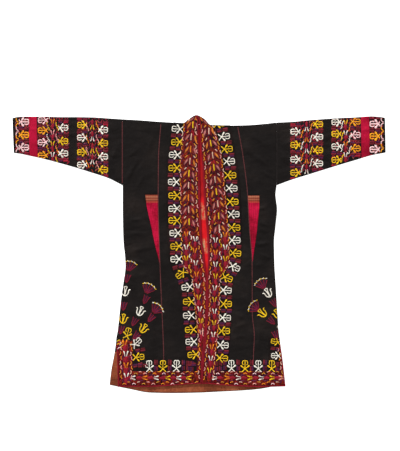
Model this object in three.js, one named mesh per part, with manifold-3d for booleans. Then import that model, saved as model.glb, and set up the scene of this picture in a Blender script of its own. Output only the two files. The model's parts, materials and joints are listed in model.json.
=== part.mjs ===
// A chyrpy, the embroidered silk coat of Turkmen women, laid out flat on a table with its
// front upwards and its sleeves spread. Millimetres: +X to the viewer's right, +Y to the
// collar, +Z up. The origin is on the table, under the middle of the coat.
import * as THREE from 'three';
import Module from 'manifold-3d';
import { mergeVertices } from 'three/addons/utils/BufferGeometryUtils.js';

const wasm = await Module();
wasm.setup();

// Thicknesses and widths of the cloth and its trimmings.
const WALL = 2.0; // black silk with its cotton lining
const LINING = 1.0; // a lining that shows by itself
const BORDER = 1.2; // embroidered border strip
const BRAID = 1.0; // woven edge braid, thickness
const BRAID_WIDTH = 5.0;
const SEAM = 0.3; // clearance between pieces that are sewn together
const HALF_SEAM = SEAM / 2;

// How the upper layer lies over the lower one.
const REST = WALL + SEAM; // its underside where it is sewn to the back
const PUFF = 1.7; // how much further it stands off, away from those seams
const PUFF_REACH = 30; // distance over which it rises
const NECK_STEP = { from: 526, to: 540 }; // where the border comes down behind the nape
const NECK_LEFT = -60; // ends of the back neckline
const NECK_RIGHT = 44;
const COLLAR_LEFT = -64; // where the border leaves the shoulder line for the nape
const COLLAR_RIGHT = 48;
const COLLAR_LIP = 1; // how far the border passes the shoulder line beside it

// Levels that several pieces share.
const UNDERARM = 275;
const SLIT_TOP = -344;
const BORDER_TOP = -432; // upper edge of the hem border
const ROW_STEP = 35.5; // spacing of the rows of points up a front panel
const LINING_TOP = 500;
const LINING_END = -104;
const LINING_UNDERLAP = 12; // how far a lining strip runs under the fronts
const HEM_LINING_TOP = -505;
const SLIT_LINING_TOP = -390;
const SLIT_LINING_INNER = -312;

// The finished outline, from the top of the slits round the sleeves.
const SIDE_LEFT = [
  { y: 540, x: -305 }, { y: 196, x: -305 }, { y: 112, x: -304 }, { y: 48, x: -302 },
  { y: -8, x: -296 }, { y: -48, x: -294 }, { y: -112, x: -302 }, { y: -176, x: -311 },
  { y: -240, x: -318 }, { y: -304, x: -325 }, { y: -344, x: -331 },
];
const SIDE_RIGHT = [
  { y: 530, x: 310 }, { y: 275, x: 310 }, { y: 240, x: 306 }, { y: 180, x: 312 },
  { y: 112, x: 306 }, { y: 48, x: 300 }, { y: -48, x: 302 }, { y: -112, x: 306 },
  { y: -176, x: 310 }, { y: -240, x: 314 }, { y: -304, x: 318 }, { y: -344, x: 323 },
  { y: -432, x: 335 }, { y: -496, x: 342 }, { y: -532, x: 346 },
];
const SLIT_EDGE_FRONT = [
  { y: -356, x: -331 }, { y: -392, x: -328 }, { y: -464, x: -326 }, { y: -532, x: -324 },
];
const SLIT_EDGE_BACK = [
  { y: -400, x: -339 }, { y: -464, x: -351 }, { y: -523, x: -358 },
];
const SLEEVE_LEFT = [
  { x: -745, top: 544, under: 405 }, { x: -716, top: 549, under: 401 },
  { x: -684, top: 550, under: 394 }, { x: -620, top: 550, under: 380 },
  { x: -556, top: 548, under: 363 }, { x: -492, top: 548, under: 345 },
  { x: -428, top: 547, under: 325 }, { x: -364, top: 543, under: 304 },
  { x: -305, top: 539, under: 275 },
];
const SLEEVE_RIGHT = [
  { x: 310, top: 526, under: 275 }, { x: 372, top: 529, under: 298 },
  { x: 436, top: 535, under: 318 }, { x: 500, top: 540, under: 338 },
  { x: 564, top: 544, under: 358 }, { x: 628, top: 547, under: 377 },
  { x: 692, top: 551, under: 396 }, { x: 745, top: 546, under: 406 },
];
const SHOULDER = [
  { x: -305, y: 539 }, { x: -236, y: 535 }, { x: -172, y: 530 }, { x: -108, y: 526 },
  { x: -64, y: 523 }, { x: 48, y: 515.5 }, { x: 116, y: 514 }, { x: 180, y: 515 },
  { x: 244, y: 519 }, { x: 310, y: 526 },
];
const NECK_PEAK = [
  { x: -64, y: 523.5 }, { x: -44, y: 537.5 }, { x: -10, y: 556 }, { x: 20, y: 542 },
  { x: 48, y: 516 },
];
const BACK_HEM = [
  { x: -358, y: -523 }, { x: -274, y: -540 }, { x: -196, y: -554 }, { x: -108, y: -556 },
  { x: 4, y: -554 }, { x: 84, y: -550 }, { x: 164, y: -546 }, { x: 236, y: -540 },
  { x: 300, y: -528 }, { x: 342, y: -514 },
];
const FRONT_HEM = [
  { x: -324, y: -530 }, { x: -196, y: -530 }, { x: -96, y: -524 }, { x: -12, y: -518 },
  { x: 32, y: -518 }, { x: 84, y: -523 }, { x: 164, y: -528 }, { x: 236, y: -531 },
  { x: 346, y: -528 },
];

// The seams and borders inside the outline.
const SEAM_LEFT = [
  { y: 528, x: -152 }, { y: 376, x: -162 }, { y: 240, x: -163 }, { y: -36, x: -156 },
  { y: -184, x: -150 }, { y: -412, x: -141 }, { y: -530, x: -140 },
];
const SEAM_RIGHT = [
  { y: 514, x: 154 }, { y: 376, x: 178 }, { y: 240, x: 194 }, { y: 96, x: 202 },
  { y: -32, x: 212 }, { y: -240, x: 213 }, { y: -324, x: 221 }, { y: -420, x: 217 },
  { y: -530, x: 216 },
];
const BACK_SEAM_LEFT = [{ y: 528, x: -155 }, { y: -556, x: -152 }];
const BACK_SEAM_RIGHT = [{ y: 515, x: 186 }, { y: -546, x: 192 }];
const OPENING_LEFT = [
  { y: 556, x: -10.4 }, { y: 526, x: -2 }, { y: 466, x: -1 }, { y: 404, x: 1 },
  { y: 316, x: 1 }, { y: 196, x: 3 }, { y: 76, x: 7 }, { y: -4, x: 18 }, { y: -60, x: 26 },
  { y: -96, x: 31 }, { y: -164, x: 32.7 }, { y: -272, x: 28.7 }, { y: -364, x: 20.7 },
  { y: -416, x: 15.7 }, { y: -520, x: 9.7 },
];
const OPENING_RIGHT = [
  { y: 556, x: -9.6 }, { y: 526, x: 2 }, { y: 466, x: 4 }, { y: 404, x: 9 },
  { y: 316, x: 18 }, { y: 196, x: 25 }, { y: 76, x: 36 }, { y: -4, x: 38 }, { y: -60, x: 35 },
  { y: -96, x: 31.8 }, { y: -164, x: 33.3 }, { y: -272, x: 29.3 }, { y: -364, x: 21.3 },
  { y: -416, x: 16.3 }, { y: -520, x: 10.3 },
];
const BORDER_OUTER_LEFT = [
  { y: 526, x: -102 }, { y: 504, x: -108 }, { y: 416, x: -122 }, { y: 344, x: -131 },
  { y: 236, x: -132 }, { y: 96, x: -128 }, { y: -4, x: -123 }, { y: -56, x: -114 },
  { y: -96, x: -84 }, { y: -136, x: -70 }, { y: -324, x: -58 }, { y: -432, x: -50 },
  { y: -528, x: -44 },
];
const BORDER_OUTER_RIGHT = [
  { y: 514, x: 124 }, { y: 496, x: 130 }, { y: 436, x: 140 }, { y: 356, x: 154 },
  { y: 256, x: 165 }, { y: 116, x: 170 }, { y: -4, x: 172 }, { y: -52, x: 162 },
  { y: -92, x: 136 }, { y: -144, x: 132 }, { y: -252, x: 128 }, { y: -432, x: 118 },
  { y: -528, x: 114 },
];
const SLIT_BORDER_LEFT = [
  { y: 539, x: -226 }, { y: -200, x: -228 }, { y: -344, x: -234 }, { y: -530, x: -232 },
];
const SLIT_BORDER_RIGHT = [
  { y: 527, x: 246 }, { y: -200, x: 262 }, { y: -344, x: 276 }, { y: -530, x: 278 },
];

// The magenta wedges: their slanting outer edge, and how high they reach.
const WEDGE_LEFT = { top: 237, tip: -36, outer: [
  { y: 238, x: -215 }, { y: 196, x: -210 }, { y: 156, x: -202 }, { y: 104, x: -190 },
  { y: 36, x: -176 }, { y: -12, x: -163.5 }, { y: -38, x: -157.5 },
] };
const WEDGE_RIGHT = { top: 234, tip: -32, outer: [
  { y: 235, x: 242 }, { y: 196, x: 242 }, { y: 156, x: 238 }, { y: 76, x: 230 },
  { y: 16, x: 221 }, { y: -34, x: 213.5 },
] };

// The sleeves' joins, as distances from the middle, and how much the cuff edge leans.
const SLEEVE_JOINS_LEFT = {
  armhole: -305, stripe: -646, cuff: -680, binding: -739.2, end: -743.2, lean: -0.04,
};
const SLEEVE_JOINS_RIGHT = {
  armhole: 310, stripe: 648, cuff: 682, binding: 740.6, end: 744.6, lean: -0.02,
};

// The largest folds of the upper layer. angle is in degrees from +X; height is in millimetres,
// width is the distance from the crest at which a fold has died down.
const FOLDS = [
  { x: 288, y: 366, angle: 132, length: 210, width: 26, height: 1.1 },
  { x: 228, y: 322, angle: 118, length: 230, width: 28, height: 0.7 },
  { x: -262, y: 330, angle: 52, length: 220, width: 28, height: 1.0 },
  { x: -214, y: 402, angle: 66, length: 200, width: 28, height: 0.6 },
  { x: -246, y: 62, angle: 4, length: 150, width: 22, height: 0.7 },
  { x: -252, y: 2, angle: -3, length: 150, width: 20, height: 0.6 },
  { x: 262, y: 40, angle: -7, length: 130, width: 22, height: 0.5 },
  { x: 180, y: -250, angle: 92, length: 300, width: 28, height: 0.9 },
  { x: 248, y: -230, angle: 86, length: 240, width: 28, height: 0.7 },
  { x: -200, y: -240, angle: 94, length: 300, width: 30, height: 0.8 },
  { x: -98, y: -230, angle: 90, length: 300, width: 26, height: 0.5 },
  { x: -436, y: 424, angle: 172, length: 260, width: 30, height: 0.7 },
  { x: 436, y: 414, angle: 8, length: 280, width: 30, height: 0.7 },
  { x: -590, y: 470, angle: 178, length: 200, width: 28, height: 0.5 },
  { x: 590, y: 462, angle: 3, length: 200, width: 28, height: 0.5 },
];

const { lerp, degToRad, clamp, smoothstep } = THREE.MathUtils;

// A smooth curve through a table, from one of its columns to another. It never swings past
// the table's own values, and it holds the end values beyond them.
function curve(table, from, to) {
  const rows = [...table].sort((a, b) => a[from] - b[from]);
  const rise = rows.slice(1).map((row, i) => (row[to] - rows[i][to]) / (row[from] - rows[i][from]));
  const slopes = rows.map((row, i) => {
    const before = rise[Math.max(i - 1, 0)];
    const after = rise[Math.min(i, rise.length - 1)];
    return before * after > 0 ? (2 * before * after) / (before + after) : 0;
  });
  return (value) => {
    const at = clamp(value, rows[0][from], rows[rows.length - 1][from]);
    let i = 0;
    while (i < rows.length - 2 && at > rows[i + 1][from]) i += 1;
    const span = rows[i + 1][from] - rows[i][from];
    const t = (at - rows[i][from]) / span;
    const low = (1 + 2 * t) * (1 - t) ** 2 * rows[i][to] + t * (1 - t) ** 2 * span * slopes[i];
    const high = t * t * (3 - 2 * t) * rows[i + 1][to] + t * t * (t - 1) * span * slopes[i + 1];
    return low + high;
  };
}

const level = (value) => () => value;
const moved = (line, by) => (at) => line(at) + by;
const between = (first, second, share) => (at) => lerp(first(at), second(at), share);

const sideLeft = curve([...SIDE_LEFT, ...SLIT_EDGE_FRONT], 'y', 'x');
const sideRight = curve(SIDE_RIGHT, 'y', 'x');
const backSideLeft = curve([...SIDE_LEFT, ...SLIT_EDGE_BACK], 'y', 'x');
const shoulder = curve(SHOULDER, 'x', 'y');
const shoulderLeft = SHOULDER.filter((row) => row.x < COLLAR_LEFT);
const shoulderRight = SHOULDER.filter((row) => row.x > COLLAR_RIGHT);
const roof = curve([...shoulderLeft, ...NECK_PEAK, ...shoulderRight], 'x', 'y');
const collarTop = (x) => Math.max(roof(x), shoulder(x) + COLLAR_LIP);
const backHem = curve(BACK_HEM, 'x', 'y');
const frontHem = curve(FRONT_HEM, 'x', 'y');
const openingLeft = curve(OPENING_LEFT, 'y', 'x');
const openingRight = curve(OPENING_RIGHT, 'y', 'x');
const borderLeft = curve(BORDER_OUTER_LEFT, 'y', 'x');
const borderRight = curve(BORDER_OUTER_RIGHT, 'y', 'x');
const seamLeft = curve(SEAM_LEFT, 'y', 'x');
const seamRight = curve(SEAM_RIGHT, 'y', 'x');
const backSeamLeft = curve(BACK_SEAM_LEFT, 'y', 'x');
const backSeamRight = curve(BACK_SEAM_RIGHT, 'y', 'x');

// The lines along which the upper layer is joined to the lower one.
const sewnSide = (side) => side.filter((row) => row.y >= SLIT_TOP && row.y <= UNDERARM);
const sewnLines = [
  [...SLEEVE_LEFT.map(({ x, under }) => [x, under]), ...sewnSide(SIDE_LEFT).map(({ x, y }) => [x, y])],
  [
    ...SLEEVE_LEFT.map(({ x, top }) => [x, top]),
    ...shoulderLeft.map(({ x, y }) => [x, y]),
    ...NECK_PEAK.map(({ x, y }) => [x, y]),
    ...shoulderRight.map(({ x, y }) => [x, y]),
    ...SLEEVE_RIGHT.map(({ x, top }) => [x, top]),
  ],
  [
    ...[...SLEEVE_RIGHT].reverse().map(({ x, under }) => [x, under]),
    ...sewnSide(SIDE_RIGHT).map(({ x, y }) => [x, y]),
  ],
];

function distanceToSegment(x, y, [ax, ay], [bx, by]) {
  const length = (bx - ax) ** 2 + (by - ay) ** 2;
  const share = length > 0 ? clamp(((x - ax) * (bx - ax) + (y - ay) * (by - ay)) / length, 0, 1) : 0;
  return Math.hypot(x - lerp(ax, bx, share), y - lerp(ay, by, share));
}

function distanceToSeams(x, y) {
  let nearest = Infinity;
  for (const line of sewnLines) {
    for (let i = 0; i + 1 < line.length; i += 1) {
      nearest = Math.min(nearest, distanceToSegment(x, y, line[i], line[i + 1]));
    }
  }
  return nearest;
}

function foldHeight(x, y) {
  let height = 0;
  for (const fold of FOLDS) {
    const angle = degToRad(fold.angle);
    const along = (x - fold.x) * Math.cos(angle) + (y - fold.y) * Math.sin(angle);
    const across = (y - fold.y) * Math.cos(angle) - (x - fold.x) * Math.sin(angle);
    if (Math.abs(along) < fold.length / 2) {
      const crest = fold.height * Math.cos((Math.PI * along) / fold.length) ** 2;
      height += crest * Math.exp(-((across / fold.width) ** 2));
    }
  }
  return height;
}

// Undersides and tops of the layers over a point of the table.
function upperLayer(x, y) {
  const raised = 1 - Math.exp(-((distanceToSeams(x, y) / PUFF_REACH) ** 2));
  return REST + raised * (PUFF + foldHeight(x, y));
}
const upperLayerTop = (x, y) => upperLayer(x, y) + WALL;
const borderUnder = (x, y) => upperLayer(x, y) + REST * (1 - smoothstep(y, NECK_STEP.from, NECK_STEP.to));
const borderTop = (x, y) => borderUnder(x, y) + BORDER;
const braidUnder = (x, y) => borderTop(x, y) + SEAM;
const braidTop = (x, y) => braidUnder(x, y) + BRAID;

// The points where a family of lines x(y) crosses a family of lines y(x), row by row.
function crossings(columns, rows) {
  const passes = 12;
  return rows.map((row) => columns.map((column) => {
    const point = { x: column(row(0)), y: row(0) };
    for (let pass = 0; pass < passes; pass += 1) {
      point.x = column(point.y);
      point.y = row(point.x);
    }
    return point;
  }));
}

function block(grid, columns, rows) {
  return grid.slice(rows[0], rows[1] + 1).map((row) => row.slice(columns[0], columns[1] + 1));
}

// Draws the named edges of a grid in by the given distances.
function drawnIn(grid, { left = 0, right = 0, low = 0, high = 0 }) {
  const lastRow = grid.length - 1;
  const lastColumn = grid[0].length - 1;
  return grid.map((row, j) => row.map(({ x, y }, i) => ({
    x: x + (i === 0 ? left : 0) - (i === lastColumn ? right : 0),
    y: y + (j === 0 ? low : 0) - (j === lastRow ? high : 0),
  })));
}

// A closed wall of cloth over a grid of points, between two heights.
function wall(grid, under, over) {
  const rows = grid.length;
  const columns = grid[0].length;
  const positions = [];
  for (const height of [over, under]) {
    for (const row of grid) {
      for (const { x, y } of row) positions.push(x, y, height(x, y));
    }
  }
  const top = (i, j) => j * columns + i;
  const bottom = (i, j) => rows * columns + top(i, j);
  const faces = [];
  for (let j = 0; j + 1 < rows; j += 1) {
    for (let i = 0; i + 1 < columns; i += 1) {
      faces.push(top(i, j), top(i + 1, j), top(i + 1, j + 1));
      faces.push(top(i, j), top(i + 1, j + 1), top(i, j + 1));
      faces.push(bottom(i, j), bottom(i + 1, j + 1), bottom(i + 1, j));
      faces.push(bottom(i, j), bottom(i, j + 1), bottom(i + 1, j + 1));
    }
  }
  const edge = [];
  for (let i = 0; i + 1 < columns; i += 1) edge.push([i, 0]);
  for (let j = 0; j + 1 < rows; j += 1) edge.push([columns - 1, j]);
  for (let i = columns - 1; i > 0; i -= 1) edge.push([i, rows - 1]);
  for (let j = rows - 1; j > 0; j -= 1) edge.push([0, j]);
  edge.forEach(([i, j], k) => {
    const [i2, j2] = edge[(k + 1) % edge.length];
    faces.push(bottom(i, j), bottom(i2, j2), top(i2, j2), bottom(i, j), top(i2, j2), top(i, j));
  });
  return geometryOf(positions, faces);
}

function geometryOf(positions, faces) {
  const geometry = new THREE.BufferGeometry();
  geometry.setAttribute('position', new THREE.Float32BufferAttribute(positions, 3));
  geometry.setIndex(faces);
  geometry.computeVertexNormals();
  return geometry;
}

function solidOf(geometry) {
  const bare = geometry.clone();
  bare.deleteAttribute('normal');
  const merged = mergeVertices(bare);
  return new wasm.Manifold(new wasm.Mesh({
    numProp: 3,
    vertProperties: new Float32Array(merged.attributes.position.array),
    triVerts: new Uint32Array(merged.index.array),
  }));
}

function cutAway(geometry, cutter) {
  const { numProp, vertProperties, triVerts } = solidOf(geometry).subtract(solidOf(cutter)).getMesh();
  const positions = [];
  for (let i = 0; i < vertProperties.length; i += numProp) {
    positions.push(vertProperties[i], vertProperties[i + 1], vertProperties[i + 2]);
  }
  return geometryOf(positions, Array.from(triVerts));
}

// One loop of a flattened tube's section: along the upper wall, round the fold, back along the
// lower wall and round the other fold. depth is 0 for the outside and WALL for the inside.
function sleeveLoop(x, topY, underY, lean, depth) {
  const foldRadius = REST / 2 + WALL / 2;
  const radius = foldRadius - depth;
  const upperSteps = 8;
  const lowerSteps = 3;
  const foldSteps = 4;
  const high = topY - foldRadius;
  const low = underY + foldRadius;
  const loop = [];
  const put = (y, z) => loop.push([x + lean * (y - (topY + underY) / 2), y, z]);
  for (let k = 0; k < upperSteps; k += 1) {
    const y = lerp(low, high, k / upperSteps);
    put(y, upperLayer(x, y) + WALL - depth);
  }
  for (let k = 0; k < foldSteps; k += 1) {
    const angle = Math.PI / 2 - (Math.PI * k) / foldSteps;
    put(high + radius * Math.cos(angle), foldRadius + radius * Math.sin(angle));
  }
  for (let k = 0; k < lowerSteps; k += 1) put(lerp(high, low, k / lowerSteps), depth);
  for (let k = 0; k < foldSteps; k += 1) {
    const angle = -Math.PI / 2 - (Math.PI * k) / foldSteps;
    put(low + radius * Math.cos(angle), foldRadius + radius * Math.sin(angle));
  }
  return loop;
}

// A stretch of a sleeve from one join to the next: a tube of cloth, open at both ends.
function sleeveStretch(table, joins, from, to, steps) {
  const top = curve(table, 'x', 'top');
  const under = curve(table, 'x', 'under');
  const start = Math.min(from, to) + HALF_SEAM;
  const end = Math.max(from, to) - HALF_SEAM;
  const loops = [];
  for (let k = 0; k <= steps; k += 1) {
    const x = lerp(start, end, k / steps);
    const lean = (joins.lean * (x - joins.armhole)) / (joins.end - joins.armhole);
    loops.push([0, WALL].map((depth) => sleeveLoop(x, top(x), under(x), lean, depth)));
  }
  const count = loops[0][0].length;
  const positions = loops.flat(2).flat();
  const vertex = (station, inner, k) => (station * 2 + inner) * count + (k % count);
  const faces = [];
  const quad = (a, b, c, d) => faces.push(a, b, c, a, c, d);
  for (let k = 0; k < count; k += 1) {
    for (let s = 0; s < steps; s += 1) {
      quad(vertex(s, 0, k), vertex(s + 1, 0, k), vertex(s + 1, 0, k + 1), vertex(s, 0, k + 1));
      quad(vertex(s, 1, k), vertex(s, 1, k + 1), vertex(s + 1, 1, k + 1), vertex(s + 1, 1, k));
    }
    quad(vertex(0, 0, k), vertex(0, 0, k + 1), vertex(0, 1, k + 1), vertex(0, 1, k));
    quad(vertex(steps, 0, k), vertex(steps, 1, k), vertex(steps, 1, k + 1), vertex(steps, 0, k + 1));
  }
  return geometryOf(positions, faces);
}

const cloth = (color, roughness) => new THREE.MeshStandardMaterial({ color, roughness, metalness: 0 });
const blackSilk = cloth(0x252120, 0.55);
const magentaSilk = cloth(0xb41b3d, 0.5);
const embroidered = cloth(0x7a3a2e, 0.8);
const crimsonBraid = cloth(0x96192d, 0.7);
const redLining = cloth(0xdc2226, 0.7);
const rustLining = cloth(0x8c4a31, 0.85);

const coat = new THREE.Group();
function add(name, geometry, material) {
  const mesh = new THREE.Mesh(geometry, material);
  mesh.name = name;
  coat.add(mesh);
}

function addBack() {
  const rowCount = 14;
  const rows = Array.from({ length: rowCount + 1 }, (_, k) => between(backHem, shoulder, k / rowCount));
  const panels = [
    { name: 'back_side_left', columns: [backSideLeft, between(backSideLeft, backSeamLeft, 0.5), backSeamLeft] },
    { name: 'back_centre', columns: [backSeamLeft, level(NECK_LEFT), level(NECK_RIGHT), backSeamRight] },
    { name: 'back_side_right', columns: [backSeamRight, between(backSeamRight, sideRight, 0.5), sideRight] },
  ];
  for (const { name, columns } of panels) {
    const grid = drawnIn(crossings(columns, rows), { left: HALF_SEAM, right: HALF_SEAM });
    add(name, wall(grid, level(0), level(WALL)), blackSilk);
  }
  const neckShare = (x) => (x - NECK_LEFT) / (NECK_RIGHT - NECK_LEFT);
  const neckline = (x) => lerp(shoulder(NECK_LEFT), shoulder(NECK_RIGHT), neckShare(x)) + SEAM;
  const neckPoints = [NECK_LEFT, -44, -28, -10, 6, 22, 36, NECK_RIGHT];
  const neckGrid = crossings(neckPoints.map(level), [neckline, roof]);
  add('neck_border_back', wall(neckGrid, level(0), level(WALL)), blackSilk);
}

function addLinings() {
  const overBack = [level(REST), level(REST + LINING)];
  const strip = [moved(openingLeft, -LINING_UNDERLAP), moved(openingRight, LINING_UNDERLAP)];
  const steps = 10;
  const rows = Array.from({ length: steps + 1 }, (_, k) => level(lerp(LINING_END, LINING_TOP, k / steps)));
  add('opening_lining', wall(crossings(strip, rows), ...overBack), redLining);

  const hemSteps = 16;
  const inset = 1.5;
  const hemLeft = moved(backSideLeft, inset);
  const hemRight = moved(sideRight, -inset * 4);
  const columns = Array.from({ length: hemSteps + 1 }, (_, k) => between(hemLeft, hemRight, k / hemSteps));
  const hemGrid = crossings(columns, [moved(backHem, inset), level(HEM_LINING_TOP)]);
  add('hem_lining', wall(hemGrid, ...overBack), rustLining);

  const slitRows = [HEM_LINING_TOP + SEAM, -470, -430, SLIT_LINING_TOP].map(level);
  const slitGrid = crossings([hemLeft, level(SLIT_LINING_INNER)], slitRows);
  add('slit_lining_left', wall(slitGrid, ...overBack), rustLining);
}

// Rows of points up a front: the hem, the inner edge of its braid, the top of the hem border,
// and then even steps to the shoulder.
function frontRows() {
  const steps = Math.round((shoulder(0) - BORDER_TOP) / ROW_STEP);
  const borderLevel = level(BORDER_TOP);
  const upper = Array.from({ length: steps + 1 }, (_, k) => between(borderLevel, shoulder, k / steps));
  return [frontHem, moved(frontHem, BRAID_WIDTH), between(frontHem, borderLevel, 0.5), ...upper];
}
const HEM_BRAID_ROW = 1;
const HEM_BORDER_ROW = 3;
const SLIT_BRAID_ROW = 5;
const SLIT_BORDER_ROW = 6;
const BORDER_COLUMNS = 4; // columns of a front that its border covers, from the opening
const SLIT_COLUMNS = 3; // columns of a side panel that the slit border covers, from the side

// One half of the front. Columns of points run from left to right; on the right half the
// order of the pieces is reversed.
function addFront({ side, columns, seam, wedge }) {
  const isLeft = side === 'left';
  const rows = frontRows();
  const lastRow = rows.length - 1;
  const centre = crossings(columns.centre, rows);
  const outer = crossings(columns.side, rows);
  const centreEnd = columns.centre.length - 1;
  const outerEnd = columns.side.length - 1;
  const seamEdge = isLeft ? 'left' : 'right';
  const openEdge = isLeft ? 'right' : 'left';
  const counted = (end, from, to) => (isLeft ? [end - to, end - from] : [from, to]);

  const centrePanel = drawnIn(centre, { [seamEdge]: HALF_SEAM });
  add(`front_centre_${side}`, wall(centrePanel, upperLayer, upperLayerTop), blackSilk);

  const sideGrid = drawnIn(outer, { left: HALF_SEAM, right: HALF_SEAM });
  const sidePanel = wall(sideGrid, upperLayer, upperLayerTop);
  const wedgeOuter = curve(wedge.outer, 'y', 'x');
  const wedgeSteps = 8;
  const wedgeLevel = (_, k) => level(lerp(wedge.tip, wedge.top, k / wedgeSteps));
  const wedgeRows = Array.from({ length: wedgeSteps + 1 }, wedgeLevel);
  const wedgeLines = isLeft ? [wedgeOuter, seam] : [seam, wedgeOuter];
  const wedgeGrid = crossings([wedgeLines[0], between(...wedgeLines, 0.5), wedgeLines[1]], wedgeRows);
  const wedgePanel = drawnIn(wedgeGrid, { [openEdge]: HALF_SEAM });
  add(`wedge_${side}`, wall(wedgePanel, upperLayer, upperLayerTop), magentaSilk);
  const clear = { [seamEdge]: -SEAM, [openEdge]: -WALL, low: -SEAM, high: -SEAM };
  const cutter = wall(drawnIn(wedgeGrid, clear), level(0), level(4 * WALL + PUFF));
  add(`front_side_${side}`, cutAway(sidePanel, cutter), blackSilk);

  // The border up the front goes on over the shoulder line to the nape.
  const borderColumns = counted(centreEnd, 0, BORDER_COLUMNS);
  const borderLines = columns.centre.slice(borderColumns[0], borderColumns[1] + 1);
  const neck = crossings(borderLines, [between(shoulder, collarTop, 0.5), collarTop]);
  const border = [...block(centre, borderColumns, [0, lastRow]), ...neck];
  add(`border_${side}`, wall(border, borderUnder, borderTop), embroidered);
  const braidColumns = counted(BORDER_COLUMNS, 0, 1);
  const frontBraid = block(border, braidColumns, [HEM_BRAID_ROW, border.length - 1]);
  add(`front_braid_${side}`, wall(drawnIn(frontBraid, { low: SEAM }), braidUnder, braidTop), crimsonBraid);

  const slitColumns = counted(outerEnd, outerEnd - SLIT_COLUMNS, outerEnd);
  const slitBorder = drawnIn(block(outer, slitColumns, [0, SLIT_BORDER_ROW]), { [openEdge]: SEAM });
  add(`slit_border_${side}`, wall(slitBorder, borderUnder, borderTop), embroidered);
  const slitBraidColumns = counted(outerEnd, outerEnd - 1, outerEnd);
  const slitBraid = block(outer, slitBraidColumns, [HEM_BRAID_ROW, SLIT_BRAID_ROW]);
  add(`slit_braid_${side}`, wall(drawnIn(slitBraid, { low: SEAM }), braidUnder, braidTop), crimsonBraid);

  // The hem border runs from the slit border to the front one, over the seam between panels.
  const overSide = block(outer, counted(outerEnd, 0, outerEnd - SLIT_COLUMNS), [0, HEM_BORDER_ROW]);
  const overCentre = block(centre, counted(centreEnd, BORDER_COLUMNS, centreEnd), [0, HEM_BORDER_ROW]);
  const hemBorder = overSide.map((row, j) => (
    isLeft ? [...row, ...overCentre[j].slice(1)] : [...overCentre[j].slice(0, -1), ...row]
  ));
  const hemPanel = drawnIn(hemBorder, { [openEdge]: SEAM });
  add(`hem_border_${side}`, wall(hemPanel, borderUnder, borderTop), embroidered);

  const wholeHem = outer.slice(0, 2).map((row, j) => (
    isLeft ? [...row, ...centre[j].slice(1)] : [...centre[j].slice(0, -1), ...row]
  ));
  add(`hem_braid_${side}`, wall(wholeHem, braidUnder, braidTop), crimsonBraid);
}

function addFronts() {
  const braidLeft = moved(openingLeft, -BRAID_WIDTH);
  const braidRight = moved(openingRight, BRAID_WIDTH);
  const slitLeft = curve(SLIT_BORDER_LEFT, 'y', 'x');
  const slitRight = curve(SLIT_BORDER_RIGHT, 'y', 'x');
  const slitBraidLeft = moved(sideLeft, BRAID_WIDTH);
  const slitBraidRight = moved(sideRight, -BRAID_WIDTH);
  addFront({
    side: 'left',
    seam: seamLeft,
    wedge: WEDGE_LEFT,
    columns: {
      centre: [
        seamLeft, between(seamLeft, borderLeft, 0.5), borderLeft,
        between(borderLeft, braidLeft, 1 / 3), between(borderLeft, braidLeft, 2 / 3), braidLeft, openingLeft,
      ],
      side: [
        sideLeft, slitBraidLeft, between(slitBraidLeft, slitLeft, 0.5), slitLeft,
        between(slitLeft, seamLeft, 0.5), seamLeft,
      ],
    },
  });
  addFront({
    side: 'right',
    seam: seamRight,
    wedge: WEDGE_RIGHT,
    columns: {
      centre: [
        openingRight, braidRight, between(braidRight, borderRight, 1 / 3),
        between(braidRight, borderRight, 2 / 3), borderRight, between(borderRight, seamRight, 0.5), seamRight,
      ],
      side: [
        seamRight, between(seamRight, slitRight, 0.5), slitRight,
        between(slitRight, slitBraidRight, 0.5), slitBraidRight, sideRight,
      ],
    },
  });
}

function addSleeve(side, table, joins) {
  const stretches = [
    { name: 'sleeve', from: joins.armhole, to: joins.stripe, steps: 10, material: blackSilk },
    { name: 'sleeve_stripe', from: joins.stripe, to: joins.cuff, steps: 1, material: magentaSilk },
    { name: 'cuff', from: joins.cuff, to: joins.binding, steps: 2, material: embroidered },
    { name: 'cuff_binding', from: joins.binding, to: joins.end, steps: 1, material: blackSilk },
  ];
  for (const { name, from, to, steps, material } of stretches) {
    add(`${name}_${side}`, sleeveStretch(table, joins, from, to, steps), material);
  }
}

addBack();
addLinings();
addFronts();
addSleeve('left', SLEEVE_LEFT, SLEEVE_JOINS_LEFT);
addSleeve('right', SLEEVE_RIGHT, SLEEVE_JOINS_RIGHT);

export default coat;
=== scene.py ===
# A chyrpy, the embroidered silk coat of Turkmen women, laid out flat with its front upwards:
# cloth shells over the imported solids, their borders and braids, the embroidery and the studio.
# Sizes and places are in millimetres in the frame of the model, turned to metres by MM.
import json
import math

import bpy
import numpy as np
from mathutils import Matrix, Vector


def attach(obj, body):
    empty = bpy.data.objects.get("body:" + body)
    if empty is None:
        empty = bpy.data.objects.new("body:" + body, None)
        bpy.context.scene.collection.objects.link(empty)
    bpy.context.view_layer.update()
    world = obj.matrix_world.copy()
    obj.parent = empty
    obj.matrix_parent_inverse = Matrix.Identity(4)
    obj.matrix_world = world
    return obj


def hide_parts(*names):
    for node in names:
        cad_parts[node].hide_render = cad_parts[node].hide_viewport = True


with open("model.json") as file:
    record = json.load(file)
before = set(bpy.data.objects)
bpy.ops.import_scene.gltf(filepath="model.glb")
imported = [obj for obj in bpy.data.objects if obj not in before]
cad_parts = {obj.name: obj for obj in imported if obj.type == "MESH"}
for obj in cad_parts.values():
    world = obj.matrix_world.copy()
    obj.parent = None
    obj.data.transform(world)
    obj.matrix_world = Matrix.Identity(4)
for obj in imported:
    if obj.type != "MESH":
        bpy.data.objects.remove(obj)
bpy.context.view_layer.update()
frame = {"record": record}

MM = 0.001

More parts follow.
